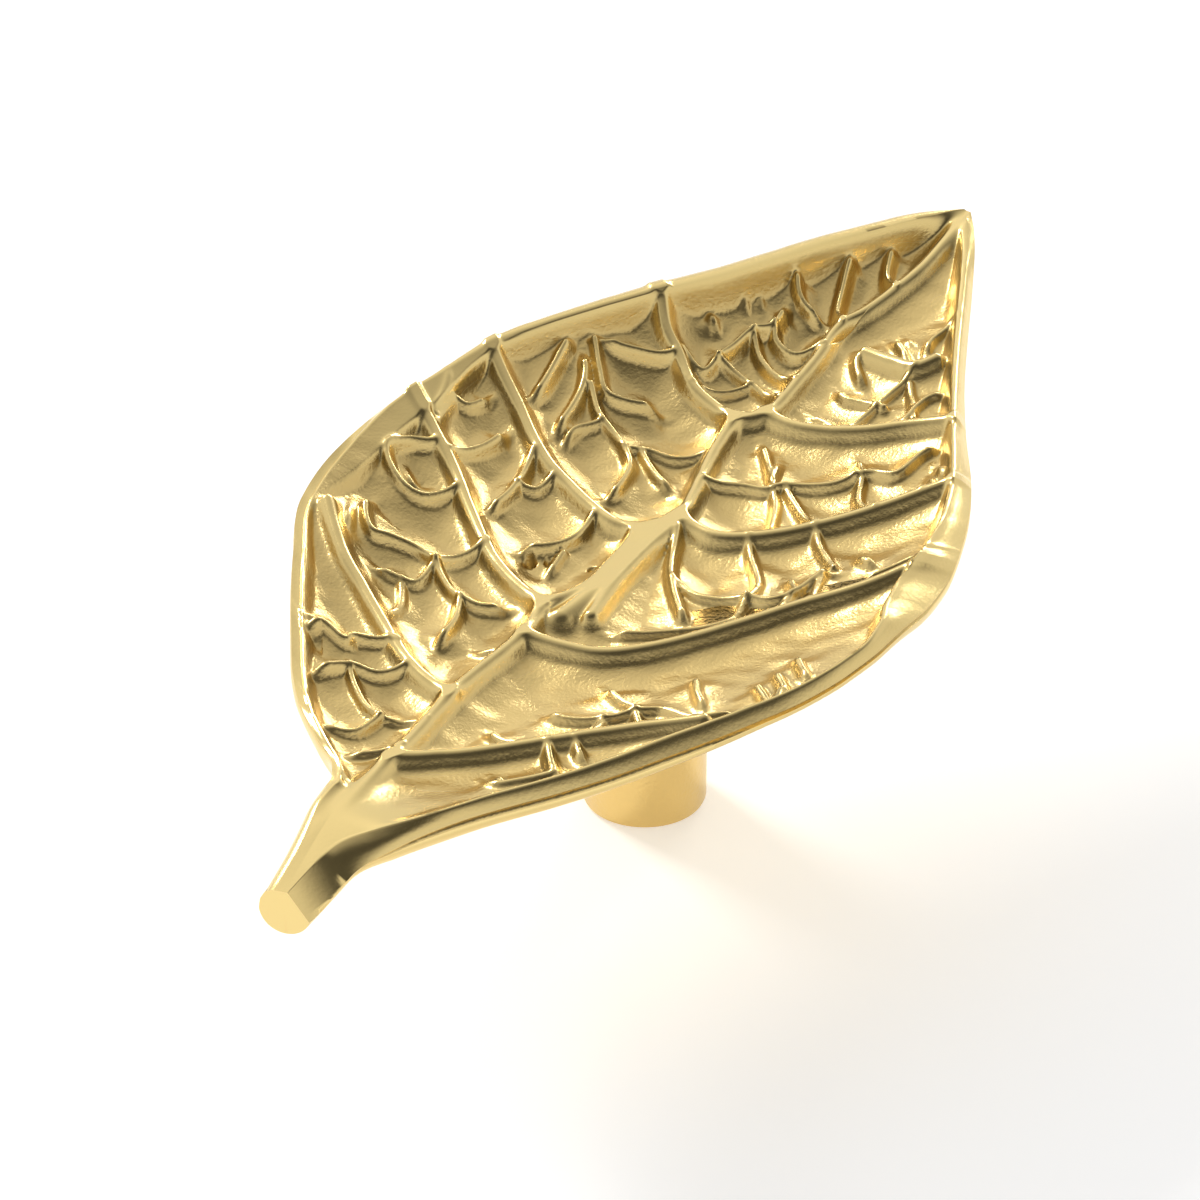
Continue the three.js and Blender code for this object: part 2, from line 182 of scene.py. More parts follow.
VEINS: tuple[Ridge, ...] = (
    # the midrib, from the stem to the second pair of veins
    vein((0.9, -33), (0.5, -29.5), (0.2, -26), (0, -23), (-0.5, -19), (-0.6, -16.2), (-0.5, -13.4),
         (-0.6, -11.2), (-1.2, -8.6)),
    # its broad stretch: two edges and the flat between them
    vein((-1.2, -8.6), (-0.6, -7.2), (-0.1, -5.4), (-0.3, -3.3), (-0.5, -1.5), (-0.8, 0.6)),
    vein((1.6, -8.2), (1.2, -6.1), (0.85, -3.9), (0.6, -0.8), (0.6, 1.3), (0.4, 3)),
    vein((0.2, -9), (0.4, -6), (0.2, -2), (-0.1, 1.2), width=0.8),
    # and on to the tip
    vein((-0.8, 0.6), (-0.2, 1.8), (0.2, 3.4), (-0.3, 5.6), (-1.4, 9.3), (-2, 12), (-2.1, 13.2)),
    vein((-2.1, 13.2), (-1.3, 13.7), (-0.8, 15), (-1, 18.3), (-1.2, 21), (-1.5, 23), (-1.4, 24.4),
         (-0.9, 25.8), (-0.3, 28.4), (0.1, 31), (0.1, 34.7), (0.1, 36)),
    # side veins on the left, from the stem up
    vein((-0.6, -18.7), (-2.8, -17.9), (-4.7, -16.9), (-7.2, -15.2), (-9.4, -13.7), (-11.3, -12.5),
         (-13, -11), (-14.1, -9.9)),
    vein((-1.2, -8.6), (-3.6, -7.6), (-6, -6.2), (-9.1, -3.6), (-11.4, -1.6), (-13.8, 0),
         (-16, 1.2)),
    vein((-0.9, 0.6), (-2.6, 0.7), (-4.5, 1.4), (-6.3, 2.2), (-8.1, 3), (-9.8, 4.1), (-11.9, 5.7),
         (-13.6, 6.8), (-15.2, 7.9)),
    vein((-2.1, 13.1), (-4.1, 13.8), (-5.8, 14.5), (-7.5, 15.9), (-8.9, 16.8), (-10.2, 18.3)),
    # and on the right
    vein((0.1, -25.4), (1.9, -23.9), (3.1, -23.1), (5.6, -21), (8, -19.1), (10.6, -17.5),
         (13.4, -16.3)),
    vein((-0.5, -11.6), (2.2, -11.5), (4, -11.2), (5.5, -10.3), (7.4, -8.4), (9.5, -5.8),
         (11.7, -3.3), (14.3, -1.3), (16.2, 0.6), (16.9, 2.2)),
    vein((0.4, 3), (1.8, 2.5), (3.4, 2.3), (5.4, 3.2), (7.2, 4.5), (9.7, 6.6), (12.3, 8.8),
         (14.2, 10.2)),
    vein((-1, 14.4), (1.3, 14.1), (3.6, 14.4), (5.6, 15), (7.6, 15.8), (10.6, 16.4)),
    vein((1.2, 22.2), (3.4, 21.7), (4.8, 21.5), (5.8, 22.7), (6.8, 23.2), tapered=True),
)

TWIGS: tuple[Ridge, ...] = (
    # left, below the first vein
    twig((0.1, -24.1), (-1, -24.9), (-2.6, -26.2), strength=0.8),
    twig((-2.7, -22), (-3, -23.9), (-4.2, -24.8), (-5.1, -24.7), strength=0.8),
    twig((-2.7, -22), (-3.9, -21.6), (-5.6, -20.3), (-7, -18.6), strength=0.8),
    twig((-4, -17.8), (-4.8, -19.1), (-6.2, -19.7), (-7.6, -21.9)),
    twig((-5.4, -16.2), (-7.3, -17.3), (-7.6, -18.1), (-9, -18.1), (-9.5, -19.6)),
    twig((-9.4, -17.2), (-10.2, -18.9), strength=0.8),
    twig((-10.5, -16.4), (-11.4, -16.9), strength=0.8),
    twig((-2.7, -22), (-1.3, -21.5), (-0.2, -21.3), strength=0.6),
    # left, first to second vein
    twig((-2.5, -9), (-4, -10.3), (-5.7, -10.3), (-7.1, -9.5), (-8, -8.7)),
    twig((-5.3, -10.4), (-4.4, -12.4), (-4.1, -15)),
    twig((-8, -8.7), (-7.3, -7.2), (-6.8, -5.4)),
    twig((-8, -8.7), (-9.4, -8.5), (-10.8, -8.9), (-11.8, -9.3), (-13, -8), (-13.2, -6.6)),
    twig((-8, -8.7), (-7.9, -10.6), (-8.6, -11.1), (-10, -11.3), (-10.9, -11.1), strength=0.8),
    twig((-10.6, -2.8), (-11.5, -4.6), (-13, -4.7), (-14.7, -3.4), (-14.4, -1.7), (-13.3, -0.8)),
    twig((-11.7, -3.2), (-12.6, -4), (-14, -2.9), strength=0.6),
    twig((-0.9, -13.3), (-1.7, -13.6), (-2.9, -13.4), strength=0.6),
    twig((-12.5, -10.7), (-13.3, -9.1), (-13.9, -8), strength=0.6),
    twig((-8.6, -11.1), (-7.5, -12.9), (-7.4, -14.4), strength=0.6),
    # left, second to third vein
    twig((-9.4, 3.3), (-8.7, 0.8), (-8.5, -1), (-8.6, -3.2)),
    twig((-11.4, 4.2), (-11.4, 2.4), (-11.7, 0.8), (-12.3, -0.5)),
    twig((-13.3, 5.8), (-13.8, 3.6), (-14.5, 3.2), (-14.4, 2), (-14, 0.7), strength=0.8),
    twig((-15.9, 5), (-15.1, 3.3), (-14.4, 1.1), strength=0.8),
    twig((-3.8, 0.6), (-3.6, -1.5), (-4.3, -3.2), (-6, -4.5)),
    twig((-7.5, 2.2), (-7.8, 0.9), (-8.8, 0.5), strength=0.8),
    twig((-3.5, -2.9), (-3.3, -4.3), (-3.2, -5.6), strength=0.6),
    # left, third to fourth vein
    twig((-12.6, 12.8), (-12.2, 10.4), (-11.8, 7.9), (-11.9, 6.4)),
    twig((-11.8, 12.3), (-10.5, 10.5), (-9.9, 8.5), (-9.5, 5.4)),
    twig((-11.4, 13), (-10.2, 11.6), (-9, 10.5), (-7.6, 11), (-6, 12.2)),
    twig((-7.8, 15.6), (-9.3, 14.5), (-10.4, 13.8), (-11.9, 13.4)),
    twig((-9.9, 10.2), (-8.5, 8.8), (-7.1, 8.1), (-5.8, 7.3), (-4.8, 6.1), (-4.3, 3.7),
         (-4.9, 2.6)),
    twig((-8.1, 8.5), (-8.9, 6.9), (-8.7, 5), strength=0.8),
    twig((-6, 7.5), (-4.8, 8.3), (-3.4, 8.6), (-2, 9.6), strength=0.8),
    twig((-5.1, 7.9), (-3.3, 6.6), (-1.3, 5.7), strength=0.8),
    # left, fourth vein to the tip
    twig((-8.4, 20.4), (-7.6, 19.8), (-6.7, 19.1), strength=0.9),
    twig((-7.4, 23.1), (-6.9, 22.2), (-6.4, 21.6), strength=0.8),
    twig((-6.8, 23.8), (-6.4, 23.1), (-6, 22.4), strength=0.8),
    twig((-5.9, 17.6), (-5.7, 18.9), (-5.4, 20.7), (-4.7, 21.9), (-5.1, 24.3)),
    twig((-4.7, 21.9), (-4, 21), (-2.6, 20.7), (-1.5, 21.8)),
    twig((-5.9, 26.8), (-5.4, 25.7), (-4.4, 24.6), (-2.2, 24.1)),
    twig((-3.8, 30.2), (-3.7, 28.9), (-3.2, 27.3), (-2.4, 25.2), (-1.5, 24.2)),
    twig((-2.5, 32.4), (-2.2, 31.2), (-1.5, 29.5), (-0.3, 28.4)),
    twig((-5.4, 20.7), (-4.3, 19.5), (-2.9, 18.7), (-1.2, 18.2), strength=0.9),
    twig((-5.9, 17.6), (-5, 17.5), (-3.4, 17.1), (-1.2, 16.3), strength=0.9),
    twig((-7.6, 16.6), (-6.2, 16.2), (-5.9, 17.6), strength=0.8),
    twig((-5.8, 14.6), (-4.7, 15.5), (-3.4, 17.1), strength=0.7),
    # right, below the first vein
    twig((6.6, -20.4), (8.3, -22.5), (9.3, -23.2)),
    twig((4.9, -24.2), (6.2, -24.6), (7, -24), (8.4, -22.7), strength=0.8),
    twig((7.8, -19.6), (9.5, -21.4), strength=0.8),
    twig((5.1, -23.6), (6.1, -24.2), strength=0.8),
    # right, first to second vein
    twig((5.4, -13.1), (6.9, -14.2), (8.5, -15), strength=0.8),
    twig((3.8, -16.8), (5.6, -17.2), (7.6, -16.6), (8.8, -15.4), strength=0.8),
    twig((8.8, -15.4), (10.1, -14.7), (12.2, -15.3), (13.6, -14.9), (14.8, -13.8), strength=0.8),
    twig((9.4, -10.4), (11.1, -12.8), (12.6, -14.4), strength=0.8),
    twig((13.7, -7.6), (16.7, -10.9), strength=0.8),
    twig((13.5, -9.2), (16.3, -12.5), strength=0.8),
    twig((13.1, -10.6), (15.6, -13.4), strength=0.8),
    twig((2.1, -19.6), (3.8, -20.5), (5.3, -20.7), strength=0.8),
    twig((15, -14.5), (15.9, -13.4), (15.5, -11.9), strength=0.8),
    twig((8.8, -15.4), (10.4, -17.2), strength=0.8),
    twig((7.6, -16.6), (8.1, -18.4), strength=0.8),
    # right, second to third vein
    twig((0.9, 1.9), (2.6, -1.6), (4.7, -4.4), (6.5, -6.3)),
    twig((3.2, -2.3), (4.8, -3.1), (6.2, -3.2), (8.1, -2.8), strength=0.8),
    twig((8.1, -2.8), (7.7, -0.9), (6, 1.3), (4.8, 2.9), strength=0.8),
    twig((8.1, -2.8), (8.4, -5.4), (6.5, -6.9), (4.1, -8.2), (2.5, -8.6), strength=0.8),
    twig((8.1, -2.8), (9.6, -2.7), (10.4, -1.7), (10.8, 0.6), (11.5, 1.6)),
    twig((8.5, 0.7), (10.2, -1.5), (10.5, -3.8), strength=0.8),
    twig((10.8, 0.6), (11.9, -2.8), strength=0.8),
    twig((7.6, 5.2), (9.3, 3.2), (10.9, 1.6), strength=0.8),
    twig((11, 3.3), (12.5, 2.4), (13.9, 2), strength=0.8),
    twig((13, -0.5), (14.2, 0.9), (15.5, 2.2), (16.6, 2.9), strength=0.8),
    # right, third to fourth vein
    twig((-0.4, 7), (1.6, 7.7), (3.1, 7.9), (3.8, 8.6), (6.2, 9.4), (7.2, 10.4)),
    twig((7.2, 10.4), (8, 11), (9.5, 11.1), (9.9, 13.1), (10.8, 14.7)),
    twig((1.8, 11.5), (2.9, 8.8), (4.3, 6.7), (5.6, 3.8), strength=0.8),
    twig((3.8, 8.6), (5.9, 6.7), (7.7, 5.2), strength=0.8),
    twig((5.7, 13.1), (7.4, 10.9), (8.6, 8.4), (10.3, 7.2), strength=0.8),
    twig((11, 12.8), (12.4, 11.2), (13.4, 11.2), strength=0.8),
    twig((11.2, 11.6), (12.2, 10), (12.2, 8.9), strength=0.8),
    twig((-0.3, 12.8), (1.4, 10.8), (2.7, 9), strength=0.8),
    # right, fourth to fifth vein
    twig((0.7, 19.4), (2, 18.3), (3.2, 18.1), (4.8, 17.9), strength=0.8),
    twig((4, 14.8), (4.4, 18.8), (4.7, 20.4), (4.8, 21.7), strength=0.8),
    twig((6.7, 15.8), (6.8, 18.8), (7.7, 19.9), (8.3, 20.3), strength=0.8),
    twig((0.2, 16.3), (1.9, 16), (3.7, 15.2), strength=0.6),
    twig((0.3, 22.8), (1.3, 21), (2.8, 19.5), strength=0.8),
    twig((5.1, 20.4), (6.1, 18.9), (7.1, 17.2), strength=0.6),
    # right, fifth vein to the tip
    twig((1.2, 24.7), (2.3, 24), (4.2, 22.2), strength=0.8),
    twig((4.1, 28), (4.4, 26.1), (4.1, 24.6), (4.6, 22.9), strength=0.8),
    twig((1.8, 25.3), (3.5, 24), strength=0.6),
)


@dataclass
class LeafForm:
    """The leaf's dish, outline and rim. All sizes in mm; they are the casting's own."""

    blade_length: float = 67.0
    blade_back: float = 30.5
    left_width: float = 16.6
    right_width: float = 19.0
    stem_length: float = 6.5
    stem_width: float = 2.7
    stem_swing: float = 1.6
    leaf_height: float = 17.1
    left_cup: float = 4.0
    right_cup: float = 3.6
    tip_rise: float = 3.9
    stem_drop: float = 0.9
    blade_thickness: float = 2.4
    stem_thickness: float = 2.8
    stem_top: float = 0.8
    stem_shoulder: float = 0.57
    shoulder_angle: float = 35.0
    lip_width: float = 0.9
    bevel_width: float = 2.4
    bevel_drop: float = 0.65
    crease_depth: float = 0.14
    band_height: float = 1.4
    band_bulge: float = 0.5
    band_tuck: float = 0.5
    land_width: float = 1.2
    panel_depth: float = 1.22
    pits: tuple[Triple, ...] = ((-4.7, -4.4, 0.3), (-3.9, -3.9, 0.16), (-1.6, -3.0, 0.2))
    pit_depth: float = 0.7
    lumps: float = 0.035
    lumps_on_veins: float = 0.15  # what the polished crowns keep of them
    cup_power: float = 2.2  # how late the cup rises towards the rim
    lip_arch: float = 0.08
    lip_fall: float = 0.03
    bevel_slope: float = 0.3  # how much deeper the bevel goes for each mm of its width
    slim: float = 4.0  # half rows shorter than this have a smaller rim
    rim_cord: tuple[Point, Point] = ((0.72, 0.4), (0.28, 0.6))  # height share and width, twice
    stem_runs_out: Point = (-4.0, 1.5)  # from where to where the stem turns into blade
    full_relief_from: float = 6.0
    fade_to_tip: float = 4.0

    def share(self, part: float) -> float:
        """Turns a share of the blade's length into Y."""
        return part * self.blade_length - self.blade_back

    def along(self, pairs: Sequence[Point], size: float) -> Table:
        """Turns pairs of shares into pairs of mm.

        Args:
            pairs: Shares of the blade's length and of size.
            size: What the second of each pair is a share of.

        Returns:
            The pairs in mm.
        """
        return tuple((self.share(a), b * size) for a, b in pairs)

    def both(self, left: Sequence[Point], right: Sequence[Point],
             *sizes: float) -> dict[Side, SmoothCurve]:
        """Makes one curve for each side from pairs of shares.

        Args:
            left: The left side's pairs.
            right: The right side's pairs.
            *sizes: What the values are shares of: the left's size and the right's, or one for both.

        Returns:
            The two curves.
        """
        return {Side.LEFT: SmoothCurve(self.along(left, sizes[0])),
                Side.RIGHT: SmoothCurve(self.along(right, sizes[-1]))}

    def __post_init__(self) -> None:
        """Works out the curves that the sizes give."""
        self.base_y = -self.blade_back
        self.tip_y = self.blade_length - self.blade_back
        self.stem_end_y = self.base_y - self.stem_length
        self._plan()
        self._heights()
        self._rim()
        self._rows()

    def _plan(self) -> None:
        """The midrib and the outline, seen from above. The stem's own points are in mm."""
        half, end, swing = self.stem_width / 2, self.stem_end_y, self.stem_swing
        sway = ((0.11, 0.0), (0.33, -1.1), (0.46, -0.6), (0.65, -1.8), (0.8, -0.9), (1.0, 0.1))
        self.midrib_x = SmoothCurve(((end, swing), (self.base_y, 0.5), *self.along(sway, 1.0)))
        left = (
            (0.02, 0.056), (0.035, 0.085), (0.047, 0.125), (0.066, 0.225), (0.1, 0.385),
            (0.165, 0.585), (0.24, 0.785), (0.3, 0.922), (0.37, 0.98), (0.44, 1.0), (0.5, 0.975),
            (0.57, 0.945), (0.65, 0.822), (0.72, 0.695), (0.79, 0.53), (0.83, 0.455),
            (0.88, 0.36), (0.93, 0.245), (0.965, 0.16), (0.99, 0.06), (1.0, -0.005))
        right = (
            (0.016, 0.29), (0.05, 0.37), (0.1, 0.51), (0.16, 0.67), (0.22, 0.825), (0.27, 0.92),
            (0.31, 0.965), (0.35, 0.985), (0.41, 0.98), (0.47, 0.95), (0.54, 0.875), (0.6, 0.78),
            (0.69, 0.59), (0.77, 0.43), (0.84, 0.305), (0.91, 0.185), (0.96, 0.095), (1.0, 0.005))
        self.edge_x = {
            Side.LEFT: SmoothCurve(((end, swing - half), (-33.0, -0.5), (self.base_y, -0.92),
                                    *self.along(left, -self.left_width))),
            Side.RIGHT: SmoothCurve(((end, swing + half), (-33.5, 3.3), (-31.3, 4.4),
                                     *self.along(right, self.right_width))),
        }

    def _heights(self) -> None:
        """The midrib's crest, and how far the rim rises above it."""
        height, rise, tip_y = self.leaf_height, self.tip_rise, self.tip_y
        self.crest_z = SmoothCurve((
            (self.stem_end_y, height - self.stem_drop), (self.base_y, height), (0.0, height),
            (tip_y * 0.4, height + rise * 0.16), (tip_y * 0.7, height + rise * 0.49),
            (tip_y, height + rise)))
        self.rim_rise = self.both(
            ((-0.02, 0.0), (0.12, 0.3), (0.24, 0.72), (0.4, 1.0), (0.6, 0.95), (0.75, 0.74),
             (0.85, 0.5), (0.93, 0.25), (1.0, 0.0)),
            ((-0.02, 0.0), (0.12, 0.3), (0.24, 0.75), (0.38, 1.0), (0.5, 0.95), (0.6, 0.8),
             (0.75, 0.42), (0.85, 0.22), (0.93, 0.1), (1.0, 0.0)),
            self.left_cup, self.right_cup)

    def _rim(self) -> None:
        """The rim's sizes along each side, and how deep the panels beside it are hollowed."""
        self.lip = self.both(
            ((0.0, 0.25), (0.45, 0.3), (0.6, 0.65), (0.8, 1.0), (0.95, 0.9), (1.0, 0.4)),
            ((0.0, 0.25), (0.9, 0.3), (1.0, 0.45)), self.lip_width)
        self.bevel = self.both(
            ((0.0, 0.08), (1.0, 0.08)),
            ((0.0, 0.1), (0.33, 0.12), (0.38, 0.3), (0.43, 0.72), (0.47, 0.86), (0.51, 0.7),
             (0.57, 0.45), (0.665, 0.22), (0.8, 0.1), (1.0, 0.08)), self.bevel_width)
        self.band = self.both(
            ((0.0, 1.35), (0.08, 1.2), (0.2, 1.0), (1.0, 1.0)),
            ((0.0, 1.0), (0.15, 0.95), (0.27, 0.62), (0.36, 0.7), (0.48, 0.9), (1.0, 1.0)),
            self.band_height)
        self.bulge = self.both(
            ((0.0, 0.3), (0.05, 0.9), (0.12, 1.0), (0.3, 0.95), (0.42, 0.3), (0.6, 0.2),
             (1.0, 0.2)), ((0.0, 0.2), (1.0, 0.2)), self.band_bulge)
        self.rim_strength = self.both(
            ((0.0, 0.4), (0.35, 0.45), (0.5, 0.9), (1.0, 1.0)), ((0.0, 0.9), (1.0, 0.9)), 1.0)
        self.land = self.both(
            ((0.0, 0.0), (0.3, 0.0), (0.38, 0.7), (0.47, 1.0), (0.56, 0.3), (0.65, 0.0),
             (1.0, 0.0)), ((0.0, 0.0), (1.0, 0.0)), self.land_width)
        self.hollowing = self.both(
            ((0.0, 1.15), (0.3, 1.2), (0.6, 1.25), (0.72, 1.4), (0.85, 1.55), (0.95, 1.3),
             (1.0, 1.0)), ((0.0, 1.15), (0.7, 1.2), (1.0, 1.0)), 1.0)

    def _rows(self) -> None:
        """Where each row that starts on the midrib meets the rim, and how far it bows."""
        veins = {
            Side.LEFT: (Vein(0.175, 0.305, 0.1), Vein(0.33, 0.475, 0.0), Vein(0.468, 0.57, 1.3),
                        Vein(0.652, 0.725, 0.2)),
            Side.RIGHT: (Vein(0.093, 0.213, -0.8), Vein(0.295, 0.49, 2.3), Vein(0.506, 0.605, 2.3),
                         Vein(0.66, 0.695, 0.7), Vein(0.795, 0.797, 0.9)),
        }
        stem_angle = math.atan2(self.stem_swing, self.stem_length)
        tilt = self.stem_width / 2 * math.sin(stem_angle)
        base, tip = self.base_y, self.tip_y
        self.row_end, self.row_bow = {}, {}
        for side, group in veins.items():
            ends = tuple((self.share(v.start), self.share(v.end)) for v in group)
            bows = tuple((self.share(v.start), v.bow) for v in group)
            cut_end = (self.stem_end_y, self.stem_end_y + side.value * tilt)
            self.row_end[side] = SmoothCurve((cut_end, (base, base), *ends, (tip, tip)))
            self.row_bow[side] = SmoothCurve(((self.stem_end_y, 0.0), (base, 0.0), *bows,
                                              (tip, 0.0)))


@dataclass
class RowSide:
    """One half of every row at once: arrays over the rows."""

    form: LeafForm
    side: Side
    m: np.ndarray

    def __post_init__(self) -> None:
        """Finds each row's middle, edge and the sizes that depend on them."""
        form, side, m = self.form, self.side, self.m
        self.middle = self._middle(m)
        self.edge = self._edge(m)
        self.chord = self.edge - self.middle
        self.length = np.maximum(np.hypot(*self.chord.T), 0.01)
        step = 0.1
        edge_step = (self._edge(m + step) - self.edge) / step
        along = self.chord / self.length[:, None]
        size = np.maximum(np.hypot(*edge_step.T), 0.01)
        cross = along[:, 0] * edge_step[:, 1] - along[:, 1] * edge_step[:, 0]
        self.square = np.maximum(np.abs(cross) / size, 0.4)
        square_off = np.stack((-self.chord[:, 1], self.chord[:, 0]), 1)
        away = square_off / (-side.value * self.length[:, None])
        self.bowing = away * (4 * form.row_bow[side](m))[:, None]
        self.end_y = form.row_end[side](m)
        self.crest = form.crest_z(m)
        self.rim_z = form.crest_z(self.end_y) + form.rim_rise[side](self.end_y)
        self.bevel_width = form.bevel[side](self.end_y)
        lip_width = form.lip[side](self.end_y)
        self.rim_share = 1 - self.inset(lip_width + self.bevel_width, 0.45)
        self.lip_share = 1 - self.inset(self.bevel_width, 0.35)

    def _middle(self, m: np.ndarray) -> np.ndarray:
        """The rows' points on the midrib."""
        return np.stack((self.form.midrib_x(m), m), 1)

    def _edge(self, m: np.ndarray) -> np.ndarray:
        """The rows' points on the outline."""
        y = self.form.row_end[self.side](m)
        return np.stack((self.form.edge_x[self.side](y), y), 1)

    def inset(self, width: float, most: float) -> np.ndarray:
        """A width square to the outline as a share of each chord.

        Args:
            width: The width in mm.
            most: The largest share allowed.

        Returns:
            One share per row.
        """
        return np.minimum(width / self.square / self.length, most)

    def at(self, share: np.ndarray) -> np.ndarray:
        """Plan points at shares of each chord.

        Args:
            share: Rows by columns.

        Returns:
            Rows by columns by two.
        """
        bow = (share * (1 - share))[..., None]
        straight = self.middle[:, None] + self.chord[:, None] * share[..., None]
        return straight + self.bowing[:, None] * bow

    def dish(self, share: np.ndarray) -> np.ndarray:
        """Height of the smooth dish at shares of each chord."""
        out = np.minimum(share / self.rim_share[:, None], 1) ** self.form.cup_power
        return self.crest[:, None] + (self.rim_z - self.crest)[:, None] * out


@dataclass
class Relief:
    """The raised veins: how many mm each point of the leaf stands above its open hollows."""

    ridges: tuple[Ridge, ...]
    sharpness: float = 4.0
    skirt_reach: float = 0.88
    skirt_round: float = 0.8
    end_share: float = 0.12  # what is left of a ridge where it dies out on a panel
    end_run: float = 1.5  # over how many mm it does so
    meeting: float = 0.55  # an end nearer than this to another ridge joins it

    def height(self, plan: np.ndarray) -> np.ndarray:
        """Blends all ridges.

        Args:
            plan: Plan points, n by two, in mm.

        Returns:
            One height per point.
        """
        cords = np.zeros(len(plan))
        skirts = np.zeros(len(plan))
        for ridge in self.ridges:
            line = ridge.smooth()
            reach = 4 * self.skirt_reach
            low, high = line.min(0) - reach, line.max(0) + reach
            near = np.nonzero(((plan > low) & (plan < high)).all(1))[0]
            if not len(near):
                continue
            distance, from_start, from_end = self._nearest(plan[near], line)
            taper = np.ones(len(near))
            for end, run in ((line[0], from_start), (line[-1], from_end)):
                if ridge.tapered and self._is_free(end, ridge):
                    taper *= lerp(self.end_share, 1.0, smoothstep(run, 0, self.end_run))
            cord = np.exp(-(distance / ridge.width) ** ridge.crown)
            rounded = np.sqrt(distance ** 2 + self.skirt_round ** 2) - self.skirt_round
            skirt = np.exp(-rounded / self.skirt_reach)
            cords[near] += (ridge.rise * taper * cord) ** self.sharpness
            skirts[near] += (ridge.skirt * taper * skirt) ** self.sharpness
        return cords ** (1 / self.sharpness) + skirts ** (1 / self.sharpness)

    def _is_free(self, end: np.ndarray, ridge: Ridge) -> bool:
        """Whether a ridge's end meets no other ridge.

        Args:
            end: The end's plan point.
            ridge: The ridge itself.

        Returns:
            True where it dies out on the open panel.
        """
        for other in self.ridges:
            if other is not ridge:
                line = other.smooth()
                if np.hypot(*(line - end).T).min() < self.meeting:
                    return False
        return True

    @staticmethod
    def _nearest(plan: np.ndarray,
                 line: np.ndarray) -> tuple[np.ndarray, np.ndarray, np.ndarray]:
        """How far points lie from a line, and along it from its two ends.

        Args:
            plan: Plan points, n by two.
            line: The line's points.

        Returns:
            The three distances, one each per point.
        """
        spans = np.hypot(*np.diff(line, axis=0).T)
        run = np.concatenate(([0.0], np.cumsum(spans)))
        best = np.full(len(plan), 1e9)
        place = np.zeros(len(plan))
        for start, end, span, before in zip(line[:-1], line[1:], spans, run[:-1]):
            t = np.clip(((plan - start) @ (end - start)) / span ** 2, 0, 1)
            distance = np.hypot(*(plan - start - t[:, None] * (end - start)).T)
            nearer = distance < best
            best = np.where(nearer, distance, best)
            place = np.where(nearer, before + t * span, place)
        return best, place, run[-1] - place


def deselect_all() -> None:
    """Leaves nothing selected, so that an operator acts on the new piece only."""
    if bpy.context.mode != "OBJECT":
        bpy.ops.object.mode_set(mode="OBJECT")
    bpy.ops.object.select_all(action="DESELECT")


def name_piece(name: str) -> bpy.types.Object:
    """Names the object that an operator has just made.

    Args:
        name: The piece's name.

    Returns:
        The object.
    """
    piece = bpy.context.object
    piece.name = name
    piece.data.name = name
    return piece


@dataclass(frozen=True)
class Stop:
    """One column of the rim's section for all rows, its angle on the round stem and its wear, which
    also sets its painted shade.
    """

    share: np.ndarray
    z: np.ndarray
    angle: float
    worn_and_shade: float


